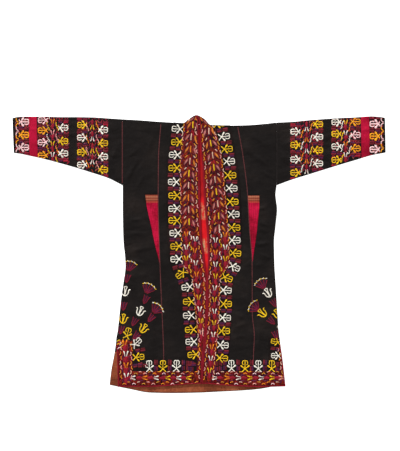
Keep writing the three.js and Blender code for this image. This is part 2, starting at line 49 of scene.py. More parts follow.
# Thicknesses and widths of the cloth and its trimmings, as in the solids.
WALL = 2.0
LINING = 1.0
BORDER = 1.2
BRAID = 1.0
BRAID_WIDTH = 5.0
SEAM = 0.3
HALF_SEAM = SEAM / 2
REST = WALL + SEAM
PUFF = 1.7
PUFF_REACH = 30
NECK_STEP = (526, 540)
NECK_LEFT = -60
NECK_RIGHT = 44
COLLAR_LEFT = -64
COLLAR_RIGHT = 48
COLLAR_LIP = 1

# Levels that several pieces share, as in the solids.
UNDERARM = 275
SLIT_TOP = -344
BORDER_TOP = -432
SLIT_BORDER_SHARE = 1 / 9  # how far up from there to the shoulder the slit borders reach
SLIT_BRAID_SHARE = 2 / 27
LINING_TOP = 500
LINING_END = -104
LINING_UNDERLAP = 12
HEM_LINING_TOP = -505
SLIT_LINING_TOP = -390
SLIT_LINING_INNER = -312
LINING_INSET = 1.5
LINING_INSET_RIGHT = 6

# The detail of the cloth shells.
CELL = 5.0  # size of a mesh cell on the front
BACK_CELL = 9.0
BORDER_CELL = 5.0
RIM = 0.9  # how far the rounded edge of a cloth reaches in
THIN_RIM = 0.4  # the same on a lining
RIM_SHARE = 0.35  # and at most this share of the shortest side of the cells there
GROUND = 0.5  # thickness of closely stitched embroidery
STITCH_SINK = 0.25  # how deep a stitch line sits in its cloth
CONTACT = 0.04
OVERHANG = 4.0  # how far the braids reach over the opening where it gapes widest
OVERHANG_SHARE = 0.25  # overhang for each millimetre by which the gap is wider than a closed one
CLOSED_GAP = 8.0  # a gap this narrow has no overhang

# Outline tables of the solids. Columns: y, x.
SIDE_LEFT = [
    (540, -305), (196, -305), (112, -304), (48, -302), (-8, -296), (-48, -294),
    (-112, -302), (-176, -311), (-240, -318), (-304, -325), (-344, -331),
]
SIDE_RIGHT = [
    (530, 310), (275, 310), (240, 306), (180, 312), (112, 306), (48, 300), (-48, 302),
    (-112, 306), (-176, 310), (-240, 314), (-304, 318), (-344, 323), (-432, 335),
    (-496, 342), (-532, 346),
]
SLIT_EDGE_FRONT = [(-356, -331), (-392, -328), (-464, -326), (-532, -324)]
SLIT_EDGE_BACK = [(-400, -339), (-464, -351), (-523, -358)]
SEAM_LEFT = [
    (528, -152), (376, -162), (240, -163), (-36, -156), (-184, -150), (-412, -141), (-530, -140),
]
SEAM_RIGHT = [
    (514, 154), (376, 178), (240, 194), (96, 202), (-32, 212), (-240, 213), (-324, 221),
    (-420, 217), (-530, 216),
]
BACK_SEAM_LEFT = [(528, -155), (-556, -152)]
BACK_SEAM_RIGHT = [(515, 186), (-546, 192)]
OPENING_LEFT = [
    (556, -10.4), (526, -2), (466, -1), (404, 1), (316, 1), (196, 3), (76, 7), (-4, 18),
    (-60, 26), (-96, 31), (-164, 32.7), (-272, 28.7), (-364, 20.7), (-416, 15.7), (-520, 9.7),
]
OPENING_RIGHT = [
    (556, -9.6), (526, 2), (466, 4), (404, 9), (316, 18), (196, 25), (76, 36), (-4, 38),
    (-60, 35), (-96, 31.8), (-164, 33.3), (-272, 29.3), (-364, 21.3), (-416, 16.3), (-520, 10.3),
]
BORDER_OUTER_LEFT = [
    (526, -102), (504, -108), (416, -122), (344, -131), (236, -132), (96, -128), (-4, -123),
    (-56, -114), (-96, -84), (-136, -70), (-324, -58), (-432, -50), (-528, -44),
]
BORDER_OUTER_RIGHT = [
    (514, 124), (496, 130), (436, 140), (356, 154), (256, 165), (116, 170), (-4, 172),
    (-52, 162), (-92, 136), (-144, 132), (-252, 128), (-432, 118), (-528, 114),
]
SLIT_BORDER_LEFT = [(539, -226), (-200, -228), (-344, -234), (-530, -232)]
SLIT_BORDER_RIGHT = [(527, 246), (-200, 262), (-344, 276), (-530, 278)]
WEDGE_LEFT = [
    (238, -215), (196, -210), (156, -202), (104, -190), (36, -176), (-12, -163.5), (-38, -157.5),
]
WEDGE_RIGHT = [(235, 242), (196, 242), (156, 238), (76, 230), (16, 221), (-34, 213.5)]

# Columns: x, y.
SHOULDER = [
    (-305, 539), (-236, 535), (-172, 530), (-108, 526), (-64, 523), (48, 515.5), (116, 514),
    (180, 515), (244, 519), (310, 526),
]
NECK_PEAK = [(-64, 523.5), (-44, 537.5), (-10, 556), (20, 542), (48, 516)]
BACK_HEM = [
    (-358, -523), (-274, -540), (-196, -554), (-108, -556), (4, -554), (84, -550),
    (164, -546), (236, -540), (300, -528), (342, -514),
]
FRONT_HEM = [
    (-324, -530), (-196, -530), (-96, -524), (-12, -518), (32, -518), (84, -523),
    (164, -528), (236, -531), (346, -528),
]

# Columns: x, y of the upper fold, y of the lower fold.
SLEEVE_LEFT = [
    (-745, 544, 405), (-716, 549, 401), (-684, 550, 394), (-620, 550, 380), (-556, 548, 363),
    (-492, 548, 345), (-428, 547, 325), (-364, 543, 304), (-305, 539, 275),
]
SLEEVE_RIGHT = [
    (310, 526, 275), (372, 529, 298), (436, 535, 318), (500, 540, 338), (564, 544, 358),
    (628, 547, 377), (692, 551, 396), (745, 546, 406),
]

# The large folds of the solids and then the smaller creases. A negative height is a trough.
# Columns: x, y, angle from +X in degrees, length, width, height.
FOLDS = [
    (288, 366, 132, 210, 26, 1.1), (228, 322, 118, 230, 28, 0.7), (-262, 330, 52, 220, 28, 1.0),
    (-214, 402, 66, 200, 28, 0.6), (-246, 62, 4, 150, 22, 0.7), (-252, 2, -3, 150, 20, 0.6),
    (262, 40, -7, 130, 22, 0.5), (180, -250, 92, 300, 28, 0.9), (248, -230, 86, 240, 28, 0.7),
    (-200, -240, 94, 300, 30, 0.8), (-98, -230, 90, 300, 26, 0.5), (-436, 424, 172, 260, 30, 0.7),
    (436, 414, 8, 280, 30, 0.7), (-590, 470, 178, 200, 28, 0.5), (590, 462, 3, 200, 28, 0.5),
]
CREASES = [
    # round the left arm and side
    (-278, 318, 57, 150, 8, 1.4), (-246, 352, 49, 112, 6, -1.2), (-231, 296, 63, 96, 7, 1.0),
    (-196, 438, 71, 128, 9, 1.1), (-266, 402, 38, 84, 7, 1.0), (-252, 138, 7, 89, 6, 1.1),
    (-262, 188, 74, 84, 8, 0.8), (-252, 84, -3, 90, 6, 1.3), (-252, 57, -3, 100, 6, -1.2),
    (-239, 18, 9, 116, 7, 1.4), (-239, -30, -10, 95, 6, 1.2), (-268, -52, 3, 84, 6, -1.0),
    (-222, -84, 9, 78, 8, 0.8), (-236, -186, 97, 160, 10, 1.1), (-181, -120, 88, 132, 9, 0.8),
    (-188, -318, 92, 190, 11, 1.0), (-112, -170, 93, 170, 10, 0.8), (-148, 188, 96, 104, 8, 0.6),
    # round the right arm and side
    (203, 408, 124, 112, 7, 1.5), (232, 461, 143, 115, 7, 1.2), (253, 371, 140, 92, 6, 1.4),
    (222, 372, 130, 90, 5, -1.2), (274, 318, 143, 68, 6, 1.3), (240, 300, 119, 98, 8, 0.9),
    (253, 185, 19, 76, 6, 1.2), (256, 121, -18, 81, 6, 1.3), (262, 84, 4, 78, 6, -1.0),
    (258, 42, 8, 84, 6, 1.4), (263, -6, -18, 76, 6, 1.3), (240, -44, 6, 74, 7, 0.9),
    (278, -158, 96, 130, 9, 0.9), (196, -160, 91, 150, 10, 0.9), (162, -245, 151, 75, 7, 1.3),
    (169, -282, 19, 76, 7, 1.3), (159, -330, 10, 74, 6, 1.1), (238, -332, 88, 150, 10, 0.9),
    (178, 150, 84, 100, 8, 0.6),
    # along and across the sleeves
    (-366, 470, 158, 96, 9, 1.3), (-392, 392, 21, 84, 8, 1.1), (-338, 402, 64, 92, 9, 1.3),
    (-474, 404, 12, 110, 8, 0.9), (-520, 478, 174, 128, 9, 1.1), (-560, 418, 8, 92, 7, -0.7),
    (-622, 444, 3, 104, 8, 0.9), (-664, 500, 170, 74, 7, 0.7), (-700, 440, 12, 60, 6, 0.7),
    (368, 452, 24, 100, 9, 1.3), (338, 388, 118, 96, 9, 1.4), (402, 376, 161, 82, 8, 1.0),
    (468, 404, 170, 114, 8, 0.9), (516, 470, 5, 120, 9, 1.1), (566, 414, 173, 88, 7, -0.7),
    (620, 440, 176, 110, 8, 0.9), (668, 498, 9, 72, 7, 0.7), (704, 452, 168, 56, 6, 0.7),
    # across the borders of the fronts
    (-66, 372, 12, 92, 9, 0.6), (-52, 206, -7, 86, 8, 0.5), (-70, 58, 5, 92, 9, 0.7),
    (-8, -92, -10, 80, 8, 0.6), (-6, -262, 6, 84, 9, 0.5), (92, 388, -9, 88, 9, 0.6),
    (98, 226, 8, 92, 8, 0.5), (104, 30, -5, 90, 9, 0.7), (82, -118, 9, 82, 8, 0.6),
    (74, -296, -6, 84, 9, 0.5), (-240, -478, 90, 80, 8, 0.7), (-160, -486, 96, 76, 8, 0.6),
    (172, -480, 86, 78, 8, 0.7), (256, -484, 92, 76, 8, 0.6),
]
# Low folds where the back lifts off the table, with the same columns.
BACK_FOLDS = [
    (-236, 240, 58, 230, 24, 0.9), (-196, -40, 8, 180, 20, 0.7), (-222, -260, 92, 280, 26, 0.9),
    (-110, 120, 84, 240, 22, 0.6), (120, 210, 96, 260, 24, 0.7), (238, 250, 122, 220, 24, 0.9),
    (206, -60, -6, 170, 20, 0.7), (168, -250, 88, 300, 26, 0.9), (262, -300, 93, 200, 20, 0.6),
    (-470, 440, 172, 240, 22, 0.6), (480, 436, 7, 250, 22, 0.6),
]
CREASE_DEPTH = 2.9  # how much deeper the creases are than their tabled heights
TROUGH_LIMIT = -0.7
BACK_LIFT_LIMIT = 0.9
# The back stays flat under the linings and rises from the first to the second of these distances.
OPENING_MIDDLE = 16
LINED_HALF = (40, 90)
LINED_HEM = (-490, -430)
# Puckers beside a seam: height, spacing, reach, and how far and how slowly the spacing drifts.
PUCKER = (0.28, 12.0, 7.0, 1.7, 31)

SLEEVE_JOINS_LEFT = dict(armhole=-305, stripe=-646, cuff=-680, binding=-739.2, end=-743.2, lean=-0.04)
SLEEVE_JOINS_RIGHT = dict(armhole=310, stripe=648, cuff=682, binding=740.6, end=744.6, lean=-0.02)


def smoothstep(value, low, high):
    t = np.clip((value - low) / (high - low), 0, 1)
    return t * t * (3 - 2 * t)


def curve(rows):
    """A smooth line through (at, value) rows that never swings past them, level beyond its ends."""
    at, value = np.array(sorted(rows), float).T
    rise = np.diff(value) / np.diff(at)
    before = np.concatenate((rise[:1], rise))
    after = np.concatenate((rise, rise[-1:]))
    same_way = before * after > 0
    total = np.where(same_way, before + after, 1)
    slope = np.where(same_way, 2 * before * after / total, 0)

    def line(point):
        p = np.clip(point, at[0], at[-1])
        i = np.clip(np.searchsorted(at, p, side="right") - 1, 0, len(at) - 2)
        span = at[i + 1] - at[i]
        t = (p - at[i]) / span
        low = (1 + 2 * t) * (1 - t) ** 2 * value[i] + t * (1 - t) ** 2 * span * slope[i]
        high = t * t * (3 - 2 * t) * value[i + 1] + t * t * (t - 1) * span * slope[i + 1]
        return low + high

    return line


def level(value):
    return lambda at: np.full_like(np.asarray(at, float), value)


def moved(line, by):
    return lambda at: line(at) + by


def between(first, second, share):
    return lambda at: first(at) * (1 - share) + second(at) * share


side_left = curve(SIDE_LEFT + SLIT_EDGE_FRONT)
side_right = curve(SIDE_RIGHT)
back_side_left = curve(SIDE_LEFT + SLIT_EDGE_BACK)
shoulder = curve(SHOULDER)
shoulder_left = [row for row in SHOULDER if row[0] < COLLAR_LEFT]
shoulder_right = [row for row in SHOULDER if row[0] > COLLAR_RIGHT]
roof = curve(shoulder_left + NECK_PEAK + shoulder_right)
back_hem = curve(BACK_HEM)
front_hem = curve(FRONT_HEM)
opening_left = curve(OPENING_LEFT)
opening_right = curve(OPENING_RIGHT)
border_left = curve(BORDER_OUTER_LEFT)
border_right = curve(BORDER_OUTER_RIGHT)
seam_left = curve(SEAM_LEFT)
seam_right = curve(SEAM_RIGHT)
slit_left = curve(SLIT_BORDER_LEFT)
slit_right = curve(SLIT_BORDER_RIGHT)
slit_border_top = between(level(BORDER_TOP), shoulder, SLIT_BORDER_SHARE)
slit_braid_top = between(level(BORDER_TOP), shoulder, SLIT_BRAID_SHARE)


def overhanging(edge, other):
    """The edge of a border and its braid, which reach a little over an opening that gapes."""
    def line(y):
        gap = other(y) - edge(y)
        wider = (np.abs(gap) - CLOSED_GAP) * OVERHANG_SHARE
        return edge(y) + np.sign(gap) * np.clip(wider, 0, OVERHANG)

    return line


rim_left = overhanging(opening_left, opening_right)
rim_right = overhanging(opening_right, opening_left)


def collar_top(x):
    return np.maximum(roof(x), shoulder(x) + COLLAR_LIP)


def sewn_side(side):
    return [(x, y) for y, x in side if SLIT_TOP <= y <= UNDERARM]


# The lines along which the upper layer is joined to the lower one.
SEWN_LINES = [
    [(x, under) for x, _, under in SLEEVE_LEFT] + sewn_side(SIDE_LEFT),
    [(x, top) for x, top, _ in SLEEVE_LEFT] + shoulder_left + NECK_PEAK + shoulder_right
    + [(x, top) for x, top, _ in SLEEVE_RIGHT],
    [(x, under) for x, _, under in reversed(SLEEVE_RIGHT)] + sewn_side(SIDE_RIGHT),
]


def distance_to_seams(x, y):
    nearest = np.full(np.shape(x), np.inf)
    for line in SEWN_LINES:
        for (ax, ay), (bx, by) in zip(line, line[1:]):
            along = (bx - ax, by - ay)
            length = max(along[0] ** 2 + along[1] ** 2, 1e-9)
            share = np.clip(((x - ax) * along[0] + (y - ay) * along[1]) / length, 0, 1)
            away = np.hypot(x - ax - share * along[0], y - ay - share * along[1])
            nearest = np.minimum(nearest, away)
    return nearest


def fold_height(x, y, folds):
    """The height of a table's soft folds over points of the table."""
    height = np.zeros(np.shape(x))
    for fold_x, fold_y, degrees, length, width, crest in folds:
        angle = math.radians(degrees)
        along = (x - fold_x) * math.cos(angle) + (y - fold_y) * math.sin(angle)
        across = (y - fold_y) * math.cos(angle) - (x - fold_x) * math.sin(angle)
        swell = np.cos(np.pi * np.clip(along / length, -0.5, 0.5)) ** 2
        height += crest * swell * np.exp(-((across / width) ** 2))
    return height


def pucker_height(x, y):
    """The small waves beside the panel seams, unevenly spaced."""
    height, spacing, reach, drift, drift_length = PUCKER
    total = np.zeros(np.shape(x))
    for seam in (seam_left, seam_right):
        wave = np.sin(2 * np.pi * y / spacing + drift * np.sin(y / drift_length))
        total += height * wave * np.exp(-(((x - seam(y)) / reach) ** 2))
    return total


def raised(x, y):
    """How much of its full height the upper layer has over a point, from 0 at a sewn line to 1."""
    return 1 - np.exp(-((distance_to_seams(x, y) / PUFF_REACH) ** 2))


# Undersides and tops of the layers over a point of the table.
def upper_layer(x, y):
    folds = fold_height(x, y, FOLDS) + CREASE_DEPTH * fold_height(x, y, CREASES)
    folds += pucker_height(x, y)
    return REST + raised(x, y) * (PUFF + np.maximum(folds, TROUGH_LIMIT))


def panel_top(x, y):
    return upper_layer(x, y) + WALL


def border_seat(x, y):
    return upper_layer(x, y) + REST * (1 - smoothstep(y, *NECK_STEP))


def border_under(x, y):
    return border_seat(x, y) - SEAM + CONTACT


def border_top(x, y):
    return border_seat(x, y) + BORDER


def ground_under(x, y):
    return border_top(x, y) - GROUND


def ground_top(x, y):
    return border_top(x, y) + GROUND


def braid_under(x, y):
    return border_top(x, y) + CONTACT


def braid_top(x, y):
    return border_top(x, y) + SEAM + BRAID


def back_under(x, y):
    beside_opening = smoothstep(np.abs(x - OPENING_MIDDLE), *LINED_HALF)
    lift = np.clip(fold_height(x, y, BACK_FOLDS), 0, BACK_LIFT_LIMIT)
    return lift * raised(x, y) * (beside_opening * smoothstep(y, *LINED_HEM))


def back_top(x, y):
    return back_under(x, y) + WALL


CROSSING_ROUNDS = 12  # how often a grid's points are moved to where its lines cross


def grid_of(columns, rows):
    """The points where the lines x(y) of columns cross the lines y(x) of rows."""
    y = np.stack([row(np.zeros(len(columns))) for row in rows])
    x = np.zeros_like(y)
    for _ in range(CROSSING_ROUNDS):
        for c, column in enumerate(columns):
            x[:, c] = column(y[:, c])
        for r, row in enumerate(rows):
            y[r] = row(x[r])
    return x, y


def spread(lines, steps):
    """The given lines, with evenly spaced ones between each two of them."""
    found = [lines[0]]
    for first, second, count in zip(lines, lines[1:], steps):
        found += [between(first, second, (k + 1) / count) for k in range(count)]
    return found


def drawn_in(grid, left=0, right=0):
    """A grid whose first and last columns are moved inwards."""
    x, y = grid[0].copy(), grid[1]
    x[:, 0] += left
    x[:, -1] -= right
    return x, y


def plan_area(grid):
    """The area of a grid seen from above, in square metres."""
    x, y = grid
    ax, ay = x[1:, 1:] - x[:-1, :-1], y[1:, 1:] - y[:-1, :-1]
    bx, by = x[1:, :-1] - x[:-1, 1:], y[1:, :-1] - y[:-1, 1:]
    return float(np.abs(ax * by - ay * bx).sum() / 2) * MM * MM


def mesh_piece(name, points, faces, material, uv=None):
    mesh = bpy.data.meshes.new(name)
    mesh.from_pydata((np.asarray(points) * MM).tolist(), [], [list(face) for face in faces])
    mesh.validate()
    mesh.polygons.foreach_set("use_smooth", [True] * len(mesh.polygons))
    if uv is not None:
        layer = mesh.uv_layers.new(name="thread")
        corner = np.zeros(len(mesh.loops), int)
        mesh.loops.foreach_get("vertex_index", corner)
        layer.data.foreach_set("uv", np.asarray(uv)[corner].ravel())
    mesh.materials.append(material)
    piece = bpy.data.objects.new(name, mesh)
    bpy.context.scene.collection.objects.link(piece)
    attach(piece, "root")
    return piece


def cloth_shell(name, grid, under, over, material, keep=None, rim=RIM):
    """A closed wall of cloth with rounded edges over the kept cells of a grid. Columns run
    from left to right and rows upwards."""
    x, y = grid
    rows, columns = x.shape
    index = np.arange(rows * columns).reshape(rows, columns)
    quads = np.stack([index[:-1, :-1], index[:-1, 1:], index[1:, 1:], index[1:, :-1]], -1)
    quads = quads.reshape(-1, 4) if keep is None else quads[keep]
    used, quads = np.unique(quads, return_inverse=True)
    quads = quads.reshape(-1, 4)
    x, y = x.ravel()[used], y.ravel()[used]
    count = len(used)

    edges = np.concatenate([quads[:, [k, (k + 1) % 4]] for k in range(4)])
    alone = ~np.isin(edges[:, 0] * count + edges[:, 1], edges[:, 1] * count + edges[:, 0])
    outline = edges[alone]
    inward = np.zeros((count, 2))
    centre = np.stack([x[quads].mean(1), y[quads].mean(1)], 1)
    shortest = np.full(count, np.inf)
    span = np.hypot(x[edges[:, 0]] - x[edges[:, 1]], y[edges[:, 0]] - y[edges[:, 1]])
    for end in (0, 1):
        np.minimum.at(shortest, edges[:, end], span)
    for k in range(4):
        np.add.at(inward, quads[:, k], centre - np.stack([x[quads[:, k]], y[quads[:, k]]], 1))
    inward /= np.maximum(np.hypot(*inward.T), 1e-9)[:, None]
    on_outline = np.zeros(count, bool)
    on_outline[outline.ravel()] = True
    reach = np.where(on_outline, np.minimum(rim, RIM_SHARE * shortest), 0)
    inner_x, inner_y = x + inward[:, 0] * reach, y + inward[:, 1] * reach

    ring = np.flatnonzero(on_outline)
    ring_at = np.zeros(count, int)
    ring_at[ring] = 2 * count + np.arange(len(ring))
    top = np.stack([inner_x, inner_y, over(inner_x, inner_y)], 1)
    bottom = np.stack([inner_x, inner_y, under(inner_x, inner_y)], 1)
    middle = (over(x[ring], y[ring]) + under(x[ring], y[ring])) / 2
    points = np.concatenate([top, bottom, np.stack([x[ring], y[ring], middle], 1)])
    a, b = outline.T
    faces = np.concatenate([
        quads, quads[:, ::-1] + count,
        np.stack([b, a, ring_at[a], ring_at[b]], 1),
        np.stack([ring_at[b], ring_at[a], a + count, b + count], 1),
    ])
    return mesh_piece(name, points, faces.tolist(), material)


# Materials: one node tree per kind of cloth or thread.
def linear(colour):
    """A colour given as it is seen on screen, 0 to 255, turned to scene values."""
    share = np.array(colour, float) / 255
    value = np.where(share <= 0.04045, share / 12.92, ((share + 0.055) / 1.055) ** 2.4)
    return (*value.tolist(), 1.0)


WAVE_LENGTH = 0.314  # width of a wave texture's band at scale 1, in metres
SHEEN_ROUGHNESS = 0.4


class Nodes:
    """A new material with short calls for its nodes."""

    def __init__(self, name):
        self.material = bpy.data.materials.new(name)
        self.material.use_nodes = True
        self.tree = self.material.node_tree
        self.shader = self.tree.nodes["Principled BSDF"]

    def add(self, kind, inputs=(), **settings):
        node = self.tree.nodes.new("ShaderNode" + kind)
        for key, value in settings.items():
            setattr(node, key, value)
        for key, value in dict(inputs).items():
            self.give(node, key, value)
        return node

    def give(self, node, key, value):
        if isinstance(value, bpy.types.NodeSocket):
            self.tree.links.new(value, node.inputs[key])
        else:
            node.inputs[key].default_value = value

    def shade(self, **values):
        for key, value in values.items():
            self.give(self.shader, key.replace("_", " "), value)

    def ramp(self, factor, stops):
        node = self.add("ValToRGB", {"Fac": factor})
        elements = node.color_ramp.elements
        while len(elements) < len(stops):
            elements.new(0.5)
        for element, (at, colour) in zip(elements, stops):
            element.position = at
            element.color = linear(colour)
        return node.outputs["Color"]

    def noise(self, vector, scale, detail=3.0, stretch=(1, 1, 1)):
        place = self.add("Mapping", {"Vector": vector, "Scale": stretch})
        node = self.add("TexNoise", {"Vector": place.outputs[0], "Scale": scale, "Detail": detail})
        return node.outputs["Fac"]

    def bands(self, vector, pitch, direction, wobble=0.6):
        """Bands of the given pitch in metres across one direction."""
        values = {"Vector": vector, "Scale": WAVE_LENGTH / pitch, "Distortion": wobble, "Detail": 1.0}
        return self.add("TexWave", values, bands_direction=direction).outputs["Fac"]

    def weave(self, vector, pitch):
        """Threads both ways."""
        warp, weft = (self.bands(vector, pitch, direction) for direction in "XY")
        return self.add("Math", {0: warp, 1: weft}, operation="MAXIMUM").outputs[0]

    def sum(self, first, second, share=1.0):
        node = self.add("Math", {0: second, 1: share, 2: first}, operation="MULTIPLY_ADD")
        return node.outputs[0]

    def mix(self, factor, first, second, blend="MIX"):
        node = self.add("Mix", data_type="RGBA", blend_type=blend)
        self.give(node, 0, factor)
        self.give(node, 6, first)
        self.give(node, 7, second)
        return node.outputs[2]

    def bump(self, height, distance, strength=1.0, over=None):
        values = {"Height": height, "Distance": distance, "Strength": strength}
        if over is not None:
            values["Normal"] = over
        return self.add("Bump", values).outputs[0]

    def ranged(self, value, low, high):
        node = self.add("MapRange", {"Value": value, "To Min": low, "To Max": high})
        return node.outputs[0]

    def step(self, value, start, end):
        """0 up to the start and 1 from the end on."""
        node = self.add("MapRange", {"Value": value, "From Min": start, "From Max": end})
        return node.outputs[0]

    def darkened(self, colour, factor):
        return self.mix(1.0, colour, factor, "MULTIPLY")

    def times(self, first, second, clamp=False):
        node = self.add("Math", {0: first, 1: second}, operation="MULTIPLY", use_clamp=clamp)
        return node.outputs[0]


BAR_FRAY = 0.004  # how ragged the ends of the bars on a wedge are, in metres
BAR_STRIPE = 0.0075  # spacing of the warp stripes that break them up
CRUMPLE_SCALE = 9
CRUMPLE_STRETCH = (1, 1.6, 1)


def flecked(nodes, here, colour, flecks):
    """Small round flecks of another colour."""
    spot = nodes.add("TexVoronoi", {"Vector": here, "Scale": flecks["scale"], "Randomness": 0.8})
    near = nodes.step(spot.outputs["Distance"], flecks["size"], flecks["size"] * 0.7)
    return nodes.mix(near, colour, linear(flecks["colour"]))


def barred(nodes, here, colour, yarn, bars):
    """Level bars of other colours over the cloth's upper end, broken up by narrow warp stripes."""
    ragged = nodes.sum(nodes.add("SeparateXYZ", {"Vector": here}).outputs[1], yarn, BAR_FRAY)
    low, high = bars["span"]
    last = len(bars["shades"]) - 1
    stops = [(k / last, shade) for k, shade in enumerate(bars["shades"])]
    above = nodes.step(ragged, low, low + BAR_FRAY)
    colour = nodes.mix(above, colour, nodes.ramp(nodes.step(ragged, low, high), stops))
    return nodes.darkened(colour, nodes.ranged(nodes.bands(here, BAR_STRIPE, "X", 1.5), 0.84, 1.08))


def woven(name, shades, pitch, slub, roughness, specular, depth,
          sheen=0.0, flecks=None, contrast=0.22, bars=None, crumple=0.0):
    """Plain woven cloth: threads both ways, uneven yarn, a mottled dye and, where crumple is
    given, the ridges of crumpled silk that deep."""
    nodes = Nodes(name)
    here = nodes.add("TexCoord").outputs["Object"]
    yarn = nodes.noise(here, 60, 3, (1, 9, 1))
    cross = nodes.noise(here, 60, 3, (9, 1, 1))
    weave = nodes.weave(here, pitch)
    dye = nodes.sum(nodes.sum(nodes.noise(here, 9, 4), yarn, 0.35 * slub), cross, 0.35 * slub)
    middle = 0.5 + 0.35 * slub
    last = len(shades) - 1
    stops = [(middle + contrast * (2 * k / last - 1), shade) for k, shade in enumerate(shades)]
    colour = nodes.ramp(dye, stops)
    if flecks is not None:
        colour = flecked(nodes, here, colour, flecks)
    if bars is not None:
        colour = barred(nodes, here, colour, yarn, bars)
    # Painted shade between the threads of the weave, and a slight painted highlight on them.
    colour = nodes.darkened(colour, nodes.ranged(weave, 0.82, 1.06))
    relief = nodes.sum(weave, nodes.sum(yarn, cross), 1.2 * slub)
    crumpled = None
    if crumple:
        wave = nodes.noise(here, CRUMPLE_SCALE, 3, CRUMPLE_STRETCH)
        centred = nodes.add("Math", {0: wave, 1: 0.5}, operation="SUBTRACT").outputs[0]
        ridge = nodes.add("Math", {0: centred}, operation="ABSOLUTE").outputs[0]
        crumpled = nodes.bump(ridge, crumple)
    nodes.shade(
        Base_Color=colour, Roughness=nodes.ranged(yarn, *roughness), Specular_IOR_Level=specular,
        Sheen_Weight=sheen, Sheen_Roughness=SHEEN_ROUGHNESS,
        Normal=nodes.bump(relief, depth, over=crumpled))
    return nodes.material


def thread(name, colour):
    """Silk thread in chain stitch: slanting links along the stitch line, a varied dye, and painted shade
    and highlight on the links.
    """
    nodes = Nodes(name)
    here = nodes.add("TexCoord").outputs["Object"]
    along = nodes.add("UVMap", uv_map="thread").outputs[0]
    link = nodes.bands(along, 0.0024, "DIAGONAL", 0.4)
    ply = nodes.bands(along, 0.0007, "X", 1.0)
    # Darker and lighter tints of the thread, mixed by the varied dye and by the links: painted shade
    # between the links and painted highlight on them.
    dark = tuple(channel * 0.62 for channel in colour)
    light = tuple(min(255, channel * 1.08 + 4) for channel in colour)
    stops = [(0.3, dark), (0.5, colour), (0.75, light)]
    lot = nodes.ranged(nodes.noise(here, 55, 3), 0.1, 0.75)
    nodes.shade(
        Base_Color=nodes.ramp(nodes.sum(lot, link, 0.3), stops),
        Roughness=nodes.ranged(link, 0.7, 0.5), Specular_IOR_Level=0.12,
        Sheen_Weight=0.04, Sheen_Roughness=SHEEN_ROUGHNESS,
        Normal=nodes.bump(nodes.sum(link, ply, 0.35), 0.0004, 0.8))
    return nodes.material


def stitched_ground(name, shades):
    """Closely set chain stitches in several dark colours, as short slanting lozenges."""
    nodes = Nodes(name)
    here = nodes.add("TexCoord").outputs["Object"]
    place = nodes.add("Mapping", {"Vector": here, "Scale": (1, 0.5, 1)})
    cells = nodes.add("TexVoronoi", {"Vector": place.outputs[0], "Scale": 165})
    pick = nodes.add("SeparateColor", {"Color": cells.outputs["Color"]}).outputs[0]
    wide = nodes.noise(here, 70, 3)
    spacing = 1 / len(shades)
    stops = [(spacing * (k + 0.5), shade) for k, shade in enumerate(shades)]
    colour = nodes.ramp(nodes.sum(nodes.ranged(pick, 0.0, 0.85), wide, 0.2), stops)
    rows = nodes.bands(here, 0.0022, "DIAGONAL", 1.5)
    # Painted shade in the furrows between the slanting rows of stitches, and painted highlight on their
    # crests.
    colour = nodes.darkened(colour, nodes.ranged(rows, 0.7, 1.1))
    relief = nodes.sum(rows, cells.outputs["Distance"], -2.0)
    nodes.shade(
        Base_Color=colour, Roughness=0.75, Specular_IOR_Level=0.08, Sheen_Weight=0.02,
        Normal=nodes.bump(relief, 0.0006, 0.9))
    return nodes.material


def braided(name, shades):
    """A narrow tablet-woven braid: slanting ribs with painted shade in the furrows between them."""
    nodes = Nodes(name)
    here = nodes.add("TexCoord").outputs["Object"]
    ribs = nodes.bands(here, 0.0026, "DIAGONAL", 0.8)
    uneven = nodes.noise(here, 48, 3)
    stops = [(0.25 + 0.5 * k / (len(shades) - 1), shade) for k, shade in enumerate(shades)]
    # Painted shade: the ribs push the colour darker in the furrows between them.
    colour = nodes.ramp(nodes.sum(nodes.ranged(uneven, 0.1, 0.7), ribs, 0.3), stops)
    nodes.shade(
        Base_Color=colour, Roughness=0.7, Specular_IOR_Level=0.1, Sheen_Weight=0.04,
        Normal=nodes.bump(ribs, 0.0006, 0.9))
    return nodes.material


# Stretches of the lining that carry its paler print, in metres: from, to.
PRINTED = ((0.142, 0.202), (0.008, 0.06))
PRINT_EDGE = 0.008  # half the width over which a print fades at its ends
# Heights at which light comes in under the edges of the opening, in metres: none, full.
LIT_BELOW = (0.235, 0.212)
LIT_ABOVE = (-0.075, -0.025)


def printed_red(name):
    """The red cotton lining of the opening, with paler printed patches down its middle and painted shade
    at its top and bottom.
    """
    nodes = Nodes(name)
    here = nodes.add("TexCoord").outputs["Object"]
    height = nodes.add("SeparateXYZ", {"Vector": here}).outputs[1]
    reds = [(0.3, (206, 14, 26)), (0.55, (236, 22, 32)), (0.8, (250, 36, 38))]
    dye = nodes.ramp(nodes.noise(here, 30, 4), reds)
    prints = [(0.38, (214, 74, 58)), (0.5, (222, 136, 100)), (0.62, (200, 170, 122))]
    print_colour = nodes.ramp(nodes.noise(here, 95, 4), prints)
    mask = 0.0
    for low, high in PRINTED:
        from_low = nodes.step(height, low - PRINT_EDGE, low + PRINT_EDGE)
        to_high = nodes.step(height, high + PRINT_EDGE, high - PRINT_EDGE)
        mask = nodes.sum(mask, nodes.times(from_low, to_high))
    broken = nodes.step(nodes.noise(here, 48, 2, (1, 0.5, 1)), 0.38, 0.5)
    colour = nodes.mix(nodes.times(mask, broken, True), dye, print_colour)
    # Painted shade: the colour is darkened above and below the heights where light comes in under the
    # edges of the opening.
    lit = nodes.times(nodes.step(height, *LIT_BELOW), nodes.step(height, *LIT_ABOVE))
    nodes.shade(
        Base_Color=nodes.darkened(colour, nodes.ranged(lit, 0.55, 1.0)),
        Roughness=0.8, Specular_IOR_Level=0.2, Normal=nodes.bump(nodes.weave(here, 0.0012), 0.0003))
    return nodes.material


